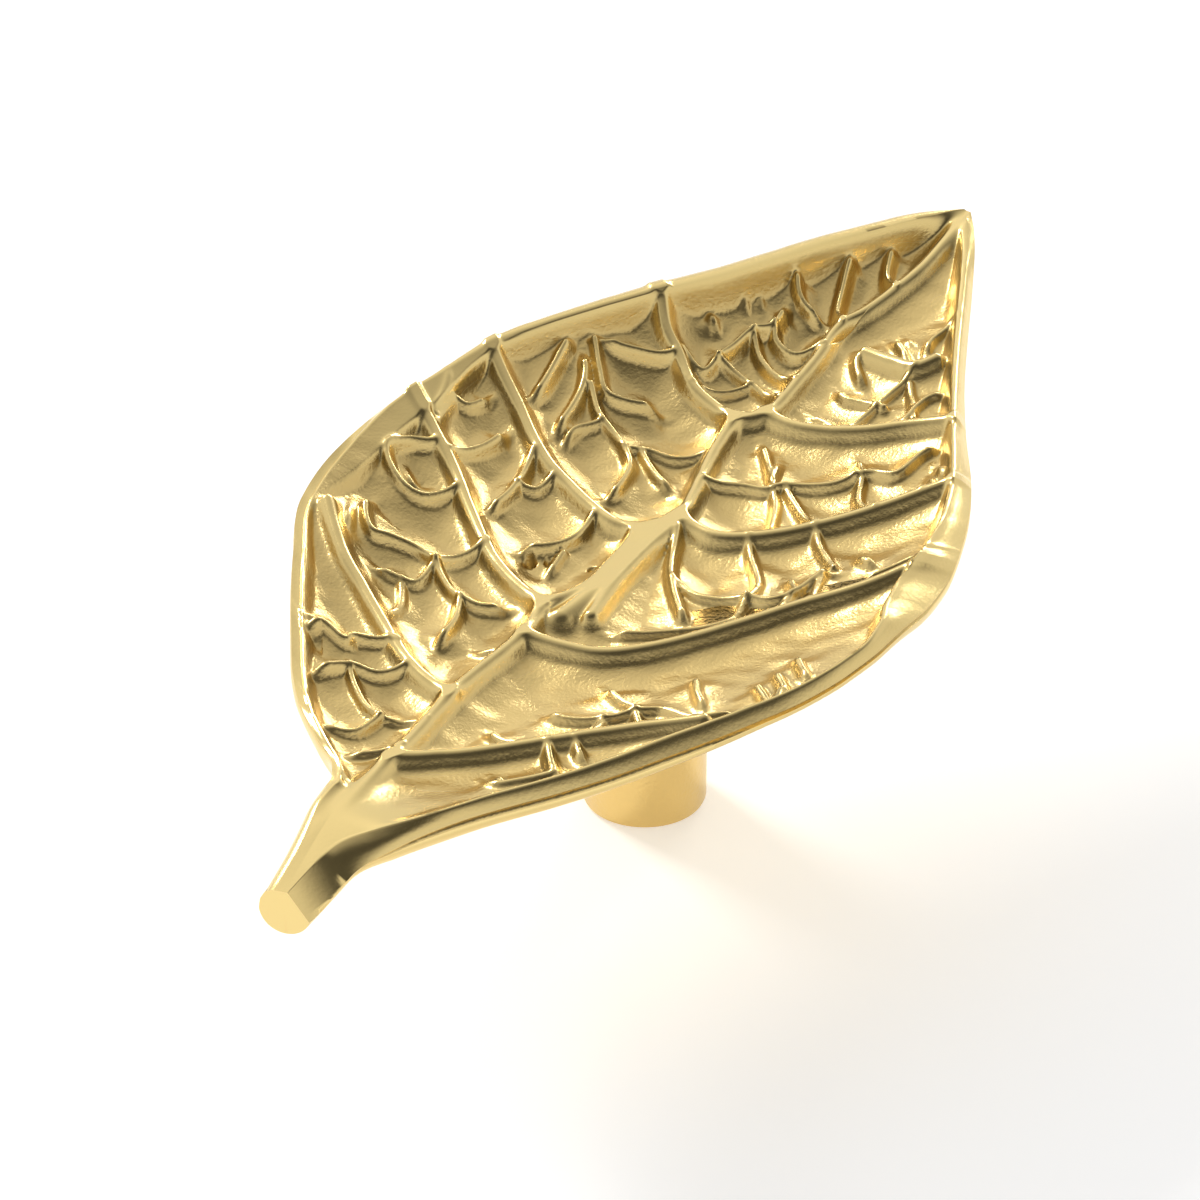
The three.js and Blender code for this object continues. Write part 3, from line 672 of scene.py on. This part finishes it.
@dataclass
class LeafSkin:
    """The cast leaf with its stem: a fine skin in four closed pieces that meet in the metal."""

    form: LeafForm = field(default_factory=LeafForm)
    rows: int = 900
    top_columns: int = 168
    bands: tuple[str, ...] = ("lower", "upper")

    def stations(self) -> np.ndarray:
        """Spreads the rows: closer together where they fan out towards the rim.

        Returns:
            Where each row starts on the midrib.
        """
        form = self.form
        fine = np.linspace(form.stem_end_y, form.tip_y - 0.3, 4000)
        fan = np.maximum(*(np.gradient(form.row_end[side](fine), fine) for side in Side))
        density = np.where(fine < form.base_y - 0.5, 0.5, np.maximum(fan, 0.8))
        run = np.concatenate(([0.0], np.cumsum((density[1:] + density[:-1]) / 2)))
        return np.interp(np.linspace(0, run[-1], self.rows), run, fine)

    def section(self, side: Side, m: np.ndarray) -> tuple[np.ndarray, np.ndarray]:
        """Half of every row, from the midrib out over the rim and back under the leaf.

        Args:
            side: Which half.
            m: The rows.

        Returns:
            Points, rows by columns by three, and how burnished each is, which also sets the painted
            shade of its colour, rows by columns.
        """
        form = self.form
        row = RowSide(form, side, m)
        inner = np.linspace(0, 1, self.top_columns + 1)
        inner = inner - 0.025 * np.sin(2 * np.pi * inner)  # closer together at midrib and rim
        share = inner[None] * row.rim_share[:, None]
        drop, worn_and_shade = self.carving(row, row.at(share), inner)
        profile = self.rim_profile(row, drop[:, -1])
        outer_share = np.stack([stop.share for stop in profile], 1)
        z = np.hstack((row.dish(share) - drop, np.stack([stop.z for stop in profile], 1)))
        shine_and_shade = np.hstack((worn_and_shade, np.repeat([[stop.worn_and_shade for stop in profile]], len(m), 0)))

        angles = np.radians(np.concatenate((lerp(90, 68, inner), [stop.angle for stop in profile])))
        across, up = self.stem_section(side, m, angles)
        stem = self.stem_share(m)[:, None]
        half = form.stem_thickness / 2
        mixed = lerp(np.hstack((share, outer_share)), across, stem)
        z = lerp(z, row.crest[:, None] - half + half * up, stem)
        return np.dstack((row.at(mixed), z)), lerp(shine_and_shade, 1.0, stem)

    def carving(self, row: RowSide, plan: np.ndarray,
                inner: np.ndarray) -> tuple[np.ndarray, np.ndarray]:
        """Carves the upper face between the crowns of its veins.

        Args:
            row: Half of every row.
            plan: Plan points, rows by columns by two.
            inner: The columns, from 0 at the midrib to 1 at the rim.

        Returns:
            Depth below the smooth dish and how burnished each point is, rows by columns.
        """
        form, side, m = self.form, row.side, row.m
        height = Relief(VEINS + TWIGS).height(plan.reshape(-1, 2)).reshape(plan.shape[:2])
        height = height / form.panel_depth
        to_rim = (1 - inner[None]) * (row.rim_share * row.length * row.square)[:, None]
        to_rim = np.maximum(to_rim - form.land[side](row.end_y)[:, None], 0)
        (cord, cord_width), (skirt, skirt_reach) = form.rim_cord
        rim = cord * np.exp(-(to_rim / cord_width) ** 2) + skirt * np.exp(-to_rim / skirt_reach)
        rim = form.rim_strength[side](row.end_y)[:, None] * rim
        height = np.minimum((height ** 4 + rim ** 4) ** 0.25, 1.05)
        present = smoothstep(m, form.base_y - 1, form.base_y + form.full_relief_from)
        present = present * (1 - smoothstep(m, form.tip_y - form.fade_to_tip, form.tip_y))
        present = present[:, None]
        hollowing = form.hollowing[side](row.end_y)[:, None]
        low = 1 - np.clip(height, 0, 1)
        drop = form.panel_depth * hollowing * (1 - height) * present
        lumpy = lerp(form.lumps_on_veins, 1.0, low)
        drop = drop + form.lumps * self.unevenness(plan) * lumpy * present
        for x, y, radius in form.pits:
            away = np.hypot(plan[..., 0] - x, plan[..., 1] - y)
            drop = drop + form.pit_depth * np.exp(-(away / radius) ** 3)
        # 0 in the open hollows: satin there, and painted with the darker colour as painted shade
        return drop, 1 - low * present

    def rim_profile(self, row: RowSide, drop: np.ndarray) -> list[Stop]:
        """Draws the section from the lip over the rim and back under the leaf.

        Args:
            row: Half of every row.
            drop: How deep each row is carved at its lip.

        Returns:
            One stop per column.
        """
        form, fall = self.form, self.form.lip_fall
        narrow = np.minimum(1, row.length / form.slim)
        rim_z = row.rim_z - drop
        slope = form.bevel_slope * (row.bevel_width - row.bevel_width.min())
        bevel = (form.bevel_drop + slope) * narrow - drop
        foot_z = rim_z - bevel
        band = form.band[row.side](row.end_y) * narrow
        flare = row.inset(form.bulge[row.side](row.end_y), 0.12)
        crease = row.inset(form.crease_depth, 0.1)
        tuck = row.inset(form.band_tuck, 0.3)
        profile: list[Stop] = []
        for t in (0.35, 0.7, 1.0):  # the burnished lip
            arc = form.lip_arch * math.sin(math.pi * t)
            profile.append(Stop(lerp(row.rim_share, row.lip_share, t),
                                rim_z + arc * narrow - fall * t, lerp(68, 62, t), 1.0))
        for t in (0.3, 0.65, 1.0):  # the bevel
            profile.append(Stop(lerp(row.lip_share, 1 + 0.6 * flare, t),
                                rim_z - fall - (bevel - fall) * t ** 1.2, lerp(62, -4, t), 0.8))
        # the crease's low wear also paints it with the darker colour, as painted shade in the
        # groove
        for t, angle, worn_and_shade in ((0.5, -6.0, 0.2), (1.0, -8.0, 0.0), (0.5, -10.0, 0.2)):  # the crease
            depth = 0.05 + 0.03 * (-4 - angle)
            profile.append(Stop(1 + 0.6 * flare - crease * t, foot_z - depth * narrow, angle, worn_and_shade))
        for t in (0.15, 0.35, 0.55, 0.75, 0.9, 1.0):  # the rounded band
            bulge = 0.4 * flare * math.sin(math.pi * min(t * 1.25, 1))
            out = 1 + 0.6 * flare * (1 - t) + bulge
            out = out - tuck * max(0.0, (t - 0.35) / 0.65) ** 2
            profile.append(Stop(out, foot_z - band * (0.12 + 0.88 * t), lerp(-12, -60, t),
                                1.0 - 0.3 * t))
        depth = row.rim_z - foot_z + band
        for t in (0.9, 0.75, 0.55, 0.35, 0.15):  # the underside
            where = (1 - tuck) * t
            thick = lerp(form.blade_thickness, depth, t ** 2)
            profile.append(Stop(where, row.dish(where[:, None])[:, 0] - thick,
                                lerp(-90, -60, t), 0.7))
        return profile

    @staticmethod
    def unevenness(plan: np.ndarray) -> np.ndarray:
        """The cast surface's soft lumps, a few mm apart, as a height of about -1 to 1.

        Args:
            plan: Plan points in mm.

        Returns:
            One height per point.
        """
        waves = ((3.4, 0.3, 0.0), (2.9, 1.4, 1.9), (2.4, 2.3, 4.1), (2.1, 0.9, 2.7),
                 (1.8, 2.8, 0.8), (1.6, 1.9, 5.2))  # length in mm, direction and start
        total = np.zeros(plan.shape[:-1])
        for length, angle, start in waves:
            along = plan[..., 0] * math.cos(angle) + plan[..., 1] * math.sin(angle)
            across = plan[..., 1] * math.cos(angle) - plan[..., 0] * math.sin(angle)
            bend = 1.3 * np.sin(across * 0.9 + start)
            total += np.sin(2 * math.pi * along / length + start + bend)
        return total / 3.0

    def stem_share(self, m: np.ndarray) -> np.ndarray:
        """How far each row belongs to the round stem, from 1 at its end to 0 on the blade."""
        low, high = self.form.stem_runs_out
        return 1 - smoothstep(m, self.form.base_y + low, self.form.base_y + high)

    def stem_section(self, side: Side, m: np.ndarray,
                     angles: np.ndarray) -> tuple[np.ndarray, np.ndarray]:
        """The round stem with its top filed flat, and its right shoulder too near the cut end.

        Args:
            side: Which half.
            m: The rows.
            angles: Angles up from the horizontal, in radians.

        Returns:
            Shares of the half width and of the half height, rows by columns.
        """
        form = self.form
        scale = np.minimum(1, form.stem_top / np.maximum(np.cos(angles - math.radians(90)), 0.01))
        scale = np.repeat(scale[None], len(m), 0)
        if side is Side.RIGHT:
            along = np.clip((m - form.stem_end_y) / form.stem_length, 0, 1)
            cut = lerp(form.stem_shoulder, 1.0, along)[:, None]
            facing = np.cos(angles - math.radians(form.shoulder_angle))
            scale = np.minimum(scale, cut / np.maximum(facing, 0.01)[None])
        return np.cos(angles) * scale, np.sin(angles) * scale

    def halves(self, m: np.ndarray) -> dict[Side, dict[str, np.ndarray]]:
        """Both halves of every row as closed loops, with the whole skin's own normals.

        Args:
            m: The rows.

        Returns:
            For each side its points, normals, burnish with its painted shade, and where it meets
            another piece.
        """
        right, right_shine_and_shade = self.section(Side.RIGHT, m)
        left, left_shine_and_shade = self.section(Side.LEFT, m)
        form = self.form
        thickness = lerp(form.blade_thickness, form.stem_thickness, self.stem_share(m))
        under_z = form.crest_z(m) - thickness
        under = np.stack((form.midrib_x(m), m, under_z), 1)[:, None]
        loop = np.concatenate((right, under, left[:, :0:-1]), 1)
        shine_and_shade = np.hstack((right_shine_and_shade, np.full((len(m), 1), 0.7), left_shine_and_shade[:, :0:-1]))
        along = np.gradient(loop, axis=0)
        across = np.roll(loop, -1, 1) - np.roll(loop, 1, 1)
        normal = np.cross(across, along)
        normal /= np.maximum(np.linalg.norm(normal, axis=2, keepdims=True), 1e-9)
        if normal[len(m) // 2, 0, 2] < 0:
            normal = -normal
        middle = right.shape[1]
        columns = {Side.RIGHT: np.arange(middle + 1),
                   Side.LEFT: np.concatenate((np.arange(middle, loop.shape[1]), [0]))}
        out = {}
        for side, index in columns.items():
            seam = np.zeros((len(m), len(index)))
            seam[:, [0, -1]] = 1.0
            out[side] = {"point": loop[:, index], "normal": normal[:, index],
                         "burnish_and_shade": shine_and_shade[:, index], "seam": seam}
        return out

    def build(self) -> list[bpy.types.Object]:
        """Makes the four pieces.

        Returns:
            The pieces.
        """
        pieces = []
        cuts = np.linspace(0, self.rows - 1, len(self.bands) + 1).astype(int)
        for side, half in self.halves(self.stations()).items():
            for band, first, last in zip(self.bands, cuts, cuts[1:]):
                part = {key: value[first:last + 1].copy() for key, value in half.items()}
                if first:
                    part["seam"][0] = 1.0
                if last < self.rows - 1:
                    part["seam"][-1] = 1.0
                pieces.append(self.tube(f"leaf_{side.name.lower()}_{band}", part))
        return pieces

    @staticmethod
    def tube(name: str, part: dict[str, np.ndarray]) -> bpy.types.Object:
        """Wraps a grid into a closed tube with filled ends and even shading at the seams.

        Args:
            name: The piece's name.
            Its points, normals, burnish with its painted shade, and seams, rows by columns.

        Returns:
            The piece.
        """
        closed = {key: np.concatenate((value, value[:, :1]), 1) for key, value in part.items()}
        rows, columns = closed["burnish_and_shade"].shape
        deselect_all()
        bpy.ops.mesh.primitive_grid_add(x_subdivisions=columns - 1, y_subdivisions=rows - 1,
                                        size=1.0)
        piece = name_piece(name)
        mesh = piece.data
        mesh.vertices.foreach_set("co", (closed["point"].reshape(-1, 3) * MM).ravel())
        for key in ("burnish_and_shade", "seam"):
            values = mesh.attributes.new(key, "FLOAT", "POINT").data
            values.foreach_set("value", closed[key].ravel())
        normals = mesh.attributes.new("skin_normal", "FLOAT_VECTOR", "POINT").data
        normals.foreach_set("vector", closed["normal"].ravel())
        bpy.ops.object.mode_set(mode="EDIT")
        bpy.ops.mesh.select_all(action="SELECT")
        bpy.ops.mesh.remove_doubles(threshold=0.002 * MM)
        bpy.ops.mesh.select_all(action="DESELECT")
        bpy.ops.mesh.select_mode(type="EDGE")
        bpy.ops.mesh.select_non_manifold()
        bpy.ops.mesh.fill_holes(sides=0)
        bpy.ops.mesh.select_mode(type="FACE")
        bpy.ops.mesh.select_all(action="SELECT")
        bpy.ops.mesh.normals_make_consistent(inside=False)
        bpy.ops.object.mode_set(mode="OBJECT")
        bpy.ops.object.shade_smooth_by_angle(angle=math.radians(50))
        LeafSkin.even_seams(mesh)
        return piece

    @staticmethod
    def even_seams(mesh: bpy.types.Mesh) -> None:
        """Gives the corners at the seams the whole skin's normals, and leaves the others alone.

        Args:
            mesh: The mesh, with its seam and skin_normal attributes, which are taken off again.
        """
        seam = np.empty(len(mesh.vertices), dtype=np.float32)
        mesh.attributes["seam"].data.foreach_get("value", seam)
        normal = np.empty(len(mesh.vertices) * 3, dtype=np.float32)
        mesh.attributes["skin_normal"].data.foreach_get("vector", normal)
        corner = np.empty(len(mesh.loops), dtype=np.int32)
        mesh.loops.foreach_get("vertex_index", corner)
        start = np.empty(len(mesh.polygons), dtype=np.int32)
        total = np.empty(len(mesh.polygons), dtype=np.int32)
        mesh.polygons.foreach_get("loop_start", start)
        mesh.polygons.foreach_get("loop_total", total)
        on_seam = seam[corner] > 0.5
        all_on_seam = np.add.reduceat(on_seam.astype(int), start) == total
        inside = np.repeat(all_on_seam | (total > 4), total)
        wanted = np.where((on_seam & ~inside)[:, None], normal.reshape(-1, 3)[corner], 0.0)
        mesh.normals_split_custom_set(wanted.tolist())
        for key in ("seam", "skin_normal"):
            mesh.attributes.remove(mesh.attributes[key])


@dataclass
class Post:
    """The round post under the leaf, with a blind screw hole in its foot. Sizes in mm."""

    diameter: float = 7.0
    fillet: float = 0.9
    chamfer: float = 0.3
    bore: float = 3.3
    bore_depth: float = 11.0
    bore_mouth: float = 4.2
    top: float = 14.7
    thread_pitch: float = 0.7
    thread_depth: float = 0.38
    thread_starts: Point = (0.4, 1.0)
    thread_ends: Point = (8.4, 9.2)
    hidden: float = 0.3  # how far the fillet's rim stays inside the leaf
    # below where the burnish starts, so the post is satin and takes the darker colour, as painted
    # shade for the leaf above it
    burnish_and_shade: float = 0.2
    name: str = "post"

    def outline(self) -> list[Point]:
        """Draws the half section, from the bottom of the bore round to the top.

        Returns:
            Its points as radius and height.
        """
        radius, mouth, bore = self.diameter / 2, self.bore_mouth / 2, self.bore / 2
        wall = np.arange(self.bore_depth - bore / 2, mouth - bore, -self.thread_pitch / 8)
        inside = [(0.0, self.bore_depth), *((bore, float(z)) for z in wall),
                  (bore, mouth - bore), (mouth, 0.0)]
        foot = [(radius - self.chamfer, 0.0),
                (radius - self.chamfer * 0.3, self.chamfer * 0.3), (radius, self.chamfer)]
        centre = (radius + self.fillet, self.top + self.hidden - self.fillet)
        arc = [(centre[0] - self.fillet * math.cos(a), centre[1] + self.fillet * math.sin(a))
               for a in np.linspace(0, math.pi / 2, 9)]
        top = self.top + 2 * self.hidden
        return inside + foot + arc + [(radius + self.fillet, top), (0.0, top)]

    def build(self) -> bpy.types.Object:
        """Spins the outline about Z.

        Returns:
            The piece.
        """
        deselect_all()
        bpy.ops.mesh.primitive_circle_add(vertices=3, radius=0.001)
        piece = name_piece(self.name)
        shape = bmesh.new()
        verts = [shape.verts.new((r * MM, 0.0, z * MM)) for r, z in self.outline()]
        for a, b in zip(verts, verts[1:]):
            shape.edges.new((a, b))
        shape.to_mesh(piece.data)
        shape.free()
        bpy.ops.object.mode_set(mode="EDIT")
        bpy.ops.mesh.select_all(action="SELECT")
        bpy.ops.mesh.spin(steps=96, angle=2 * math.pi, center=(0, 0, 0), axis=(0, 0, 1))
        bpy.ops.mesh.select_all(action="SELECT")
        bpy.ops.mesh.remove_doubles(threshold=0.002 * MM)
        bpy.ops.mesh.normals_make_consistent(inside=False)
        bpy.ops.object.mode_set(mode="OBJECT")
        self.cut_thread(piece.data)
        bpy.ops.object.shade_smooth_by_angle(angle=math.radians(35))
        return piece

    def cut_thread(self, mesh: bpy.types.Mesh) -> None:
        """Winds a V-shaped groove up the wall of the bore.

        Args:
            mesh: The post's mesh.
        """
        place = np.empty(len(mesh.vertices) * 3)
        mesh.vertices.foreach_get("co", place)
        place = place.reshape(-1, 3) / MM
        radius = np.hypot(place[:, 0], place[:, 1])
        angle = np.arctan2(place[:, 1], place[:, 0])
        turn = place[:, 2] / self.thread_pitch - angle / (2 * math.pi)
        groove = self.thread_depth * (1 - np.abs(2 * (turn % 1) - 1))
        runs_out = smoothstep(place[:, 2], *self.thread_starts)
        runs_out = runs_out * (1 - smoothstep(place[:, 2], *self.thread_ends))
        on_wall = (np.abs(radius - self.bore / 2) < 0.01) & (place[:, 2] < self.bore_depth - 0.1)
        scale = np.where(on_wall, 1 + groove * runs_out / np.maximum(radius, 0.01), 1.0)
        place[:, :2] *= scale[:, None]
        mesh.vertices.foreach_set("co", (place * MM).ravel())


def linear(hex_colour: str) -> tuple[float, float, float, float]:
    """Turns an sRGB hex colour into Blender's linear one.

    Args:
        hex_colour: Six hex digits.

    Returns:
        Linear red, green, blue and full alpha.
    """
    parts = [int(hex_colour[i:i + 2], 16) / 255 for i in (0, 2, 4)]
    light = [c / 12.92 if c <= 0.04045 else ((c + 0.055) / 1.055) ** 2.4 for c in parts]
    return (*light, 1.0)


def add_node(tree: bpy.types.NodeTree, kind: str, settings: dict[str, object] | None = None,
             links: dict[str, bpy.types.NodeSocket] | None = None) -> bpy.types.Node:
    """Adds one node with its settings and what feeds it.

    Args:
        tree: The node tree.
        kind: The node's type name.
        settings: Properties, or values of input sockets, by name.
        links: Output sockets by the name of the input they feed.

    Returns:
        The node.
    """
    node = tree.nodes.new(kind)
    for key, value in (settings or {}).items():
        if key.isdigit() or key in node.inputs:
            node.inputs[int(key) if key.isdigit() else key].default_value = value
        else:
            setattr(node, key, value)
    for key, socket in (links or {}).items():
        tree.links.new(socket, node.inputs[int(key) if key.isdigit() else key])
    return node


@dataclass(frozen=True)
class CastBrass:
    """Cast brass, satin in its hollows and burnished by the polishing wheel on its high places."""

    # Bare brass from the mould is a warm yellow metal. The wheel reaches veins, rim and post, which
    # shine almost like mirrors. The hollows keep a satin skin with a fine grain that breaks their
    # reflections up. They are also painted a deeper, darker colour as painted shade for the light
    # that bounces between their walls.
    name: str = "cast_brass"
    colour: str = "F0D590"
    # painted shade: the darker, more saturated colour given to the hollows, creases and post stands
    # in for their shade and bounced light
    shaded_hollow_colour: str = "E5C884"
    satin: float = 0.24
    burnished: float = 0.16
    worn_and_shade: Point = (0.35, 0.9)  # where the burnish and the paler colour free of painted shade start, and where they are full
    # The mould's grain is about 0.1 mm, under two pixels of the render, so it is drawn coarser.
    grain_mm: float = 0.2
    grain_height_mm: float = 0.045
    grain_strength: Point = (0.7, 0.08)  # in the hollows, and where the wheel has been
    # The wheel leaves patches a few mm across that are a little more or less bright.
    patch_mm: float = 4.0
    patch_roughness: float = 0.1

    def build(self) -> bpy.types.Material:
        """Makes the material.

        Returns:
            The material.
        """
        material = bpy.data.materials.new(self.name)
        material.use_nodes = True
        tree = material.node_tree
        shader = tree.nodes["Principled BSDF"]
        shader.inputs["Metallic"].default_value = 1.0
        place = add_node(tree, "ShaderNodeTexCoord").outputs["Object"]
        burnish_and_shade = add_node(tree, "ShaderNodeAttribute",
                           {"attribute_name": "burnish_and_shade"}).outputs["Fac"]
        start, full = self.worn_and_shade
        high = add_node(tree, "ShaderNodeMapRange", {"From Min": start, "From Max": full},
                        {"Value": burnish_and_shade}).outputs["Result"]
        grain = add_node(tree, "ShaderNodeTexNoise",
                         {"Scale": 1 / (self.grain_mm * MM), "Detail": 3.0}, {"Vector": place})
        patches = add_node(tree, "ShaderNodeTexNoise",
                           {"Scale": 1 / (self.patch_mm * MM), "Detail": 2.0}, {"Vector": place})
        rough = add_node(tree, "ShaderNodeMapRange",
                         {"To Min": self.satin, "To Max": self.burnished}, {"Value": high})
        uneven = add_node(tree, "ShaderNodeMath",
                          {"operation": "MULTIPLY_ADD", "1": self.patch_roughness},
                          {"0": patches.outputs["Fac"], "2": rough.outputs["Result"]})
        tree.links.new(uneven.outputs["Value"], shader.inputs["Roughness"])
        # painted shade: where the burnish is low, the darker colour is mixed in
        shaded_tint = add_node(tree, "ShaderNodeMix", {"data_type": "RGBA"}, {"0": high})
        shaded_tint.inputs[6].default_value = linear(self.shaded_hollow_colour)
        shaded_tint.inputs[7].default_value = linear(self.colour)
        tree.links.new(shaded_tint.outputs[2], shader.inputs["Base Color"])
        hollow, polished = self.grain_strength
        strength = add_node(tree, "ShaderNodeMapRange", {"To Min": hollow, "To Max": polished},
                            {"Value": high})
        bump = add_node(tree, "ShaderNodeBump", {"Distance": self.grain_height_mm * MM},
                        {"Height": grain.outputs["Fac"], "Strength": strength.outputs["Result"]})
        tree.links.new(bump.outputs["Normal"], shader.inputs["Normal"])
        return material


@dataclass(frozen=True)
class WhitePaper:
    """Matt white background paper."""

    # Rolled paper has no gloss, so all that it shows is the object's soft shadow. Where the camera,
    # the metal or glass sees it, it is lifted to white, which puts no more light on the object.
    name: str = "matt_white_paper"
    colour: str = "F4F4F4"
    roughness: float = 0.9
    lift: float = 0.4

    def build(self) -> bpy.types.Material:
        """Makes the material.

        Returns:
            The material.
        """
        material = bpy.data.materials.new(self.name)
        material.use_nodes = True
        tree = material.node_tree
        shader = tree.nodes["Principled BSDF"]
        shader.inputs["Base Color"].default_value = linear(self.colour)
        shader.inputs["Roughness"].default_value = self.roughness
        path = add_node(tree, "ShaderNodeLightPath").outputs
        seen = path["Is Camera Ray"]
        for ray in ("Is Glossy Ray", "Is Transmission Ray"):
            seen = add_node(tree, "ShaderNodeMath", {"operation": "ADD"},
                            {"0": seen, "1": path[ray]}).outputs["Value"]
        lift = add_node(tree, "ShaderNodeMath", {"operation": "MULTIPLY", "1": self.lift},
                        {"0": seen})
        shader.inputs["Emission Color"].default_value = (1.0, 1.0, 1.0, 1.0)
        tree.links.new(lift.outputs["Value"], shader.inputs["Emission Strength"])
        return material


@dataclass
class Pull:
    """The whole casting: the leaf and its post."""

    skin: LeafSkin = field(default_factory=LeafSkin)
    post: Post = field(default_factory=Post)
    finish: CastBrass = field(default_factory=CastBrass)

    def build(self) -> list[bpy.types.Object]:
        """Makes the pieces and dresses them.

        Returns:
            The pieces.
        """
        pieces = [*self.skin.build(), self.post.build()]
        material = self.finish.build()
        for piece in pieces:
            piece.data.materials.clear()
            piece.data.materials.append(material)
            # the post gets one even burnish, and with it the darker colour as painted shade
            if "burnish_and_shade" not in piece.data.attributes:
                attribute = piece.data.attributes.new("burnish_and_shade", "FLOAT", "POINT")
                count = len(piece.data.vertices)
                attribute.data.foreach_set("value", [self.post.burnish_and_shade] * count)
            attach(piece, "root")
            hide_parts("leaf_pull")
        return pieces


@dataclass(frozen=True)
class SoftBox:
    """A soft box that faces the object. Sizes and distance in metres, power in watts."""

    name: str
    direction: Triple
    size: Point
    power: float
    distance: float = 1.8

    def build(self) -> bpy.types.Object:
        """Hangs it up.

        Returns:
            The lamp.
        """
        data = bpy.data.lights.new(self.name, "AREA")
        data.shape, data.energy = "RECTANGLE", self.power
        data.size, data.size_y = self.size
        lamp = bpy.data.objects.new(self.name, data)
        toward = Vector(self.direction).normalized()
        lamp.location = toward * self.distance
        lamp.rotation_euler = toward.to_track_quat("Z", "Y").to_euler()
        bpy.context.collection.objects.link(lamp)
        return lamp


@dataclass
class Studio:
    """A white sweep, soft light and the camera."""

    elevation: float = 32.0
    azimuth: float = 32.0
    distance: float = 300.0
    aim: Triple = (-3.06, 0.18, 11.84)
    lens: float = 162.0
    paper: WhitePaper = field(default_factory=WhitePaper)
    bright_side: Triple = (-0.62, 0.55, 0.56)
    # How bright the surroundings are, from facing away from the bright side to facing it.
    sky: Table = ((-0.3, 0.05), (0.05, 0.07), (0.2, 0.12), (0.4, 0.32), (0.6, 0.47), (0.8, 0.64),
                  (0.93, 0.84), (1.0, 1.08))
    horizon: float = 0.82  # the bright wall low down all round
    horizon_fades: Point = (0.36, 0.66)  # from where to where it gives way to the sky
    soft_boxes: tuple[SoftBox, ...] = (
        SoftBox("left_box", (-1.0, 0.3, 0.7), (0.45, 0.45), 16.0),
        SoftBox("back_box", (-0.2, 1.0, 0.35), (0.9, 0.25), 7.0),
    )

    def camera(self) -> bpy.types.Object:
        """Places the camera at the photograph's angle.

        Returns:
            The camera.
        """
        a, e = math.radians(self.azimuth), math.radians(self.elevation)
        back = Vector((math.sin(a) * math.cos(e), -math.cos(a) * math.cos(e), math.sin(e)))
        data = bpy.data.cameras.new("camera")
        data.lens, data.sensor_width = self.lens, 36.0
        data.clip_start, data.clip_end = 0.01, 20.0
        camera = bpy.data.objects.new("camera", data)
        camera.location = (Vector(self.aim) + back * self.distance) * MM
        camera.rotation_euler = back.to_track_quat("Z", "Y").to_euler()
        bpy.context.collection.objects.link(camera)
        bpy.context.scene.camera = camera
        return camera

    def floor(self) -> bpy.types.Object:
        """Lays the white floor.

        Returns:
            The floor.
        """
        deselect_all()
        bpy.ops.mesh.primitive_plane_add(size=6.0)
        floor = name_piece("floor")
        floor.data.materials.append(self.paper.build())
        return floor

    def world(self) -> None:
        """Surrounds the object: bright low down and on the far left, dark high on the right."""
        world = bpy.data.worlds.new("studio")
        bpy.context.scene.world = world
        world.use_nodes = True
        tree = world.node_tree
        background = tree.nodes["Background"]
        where = add_node(tree, "ShaderNodeTexCoord").outputs["Generated"]
        toward = add_node(tree, "ShaderNodeVectorMath", {"operation": "DOT_PRODUCT"}, {"0": where})
        toward.inputs[1].default_value = Vector(self.bright_side).normalized()
        along = add_node(tree, "ShaderNodeMapRange", {"From Min": -1.0},
                         {"Value": toward.outputs["Value"]})
        ramp = add_node(tree, "ShaderNodeValToRGB", {}, {"Fac": along.outputs["Result"]})
        stops = ramp.color_ramp.elements
        first, last = self.sky[0], self.sky[-1]
        stops[0].position, stops[1].position = (first[0] + 1) / 2, (last[0] + 1) / 2
        stops[0].color, stops[1].color = (first[1],) * 3 + (1,), (last[1],) * 3 + (1,)
        for facing, level in self.sky[1:-1]:
            stops.new((facing + 1) / 2).color = (level, level, level, 1)
        split = add_node(tree, "ShaderNodeSeparateXYZ", {}, {"Vector": where})
        low, high = self.horizon_fades
        height = add_node(tree, "ShaderNodeMapRange", {"From Min": low, "From Max": high},
                          {"Value": split.outputs["Z"]})
        mixed = add_node(tree, "ShaderNodeMix", {"data_type": "RGBA"},
                         {"0": height.outputs["Result"]})
        mixed.inputs[6].default_value = (self.horizon,) * 3 + (1,)
        tree.links.new(ramp.outputs["Color"], mixed.inputs[7])
        tree.links.new(mixed.outputs[2], background.inputs["Color"])
        background.inputs["Strength"].default_value = 1.0

    def build(self) -> None:
        """Sets the whole studio up."""
        scene = bpy.context.scene
        scene.view_settings.view_transform = "Standard"
        self.camera()
        self.floor()
        self.world()
        for box in self.soft_boxes:
            box.build()


def main() -> None:
    """Builds the casting and the studio, and reports each piece."""
    logging.basicConfig(level=logging.INFO, format="%(name)s: %(message)s")
    for piece in Pull().build():
        mesh = piece.data
        log.info("%s: %d vertices, %d faces", piece.name, len(mesh.vertices), len(mesh.polygons))
    Studio().build()


if __name__ == "__main__":
    main()
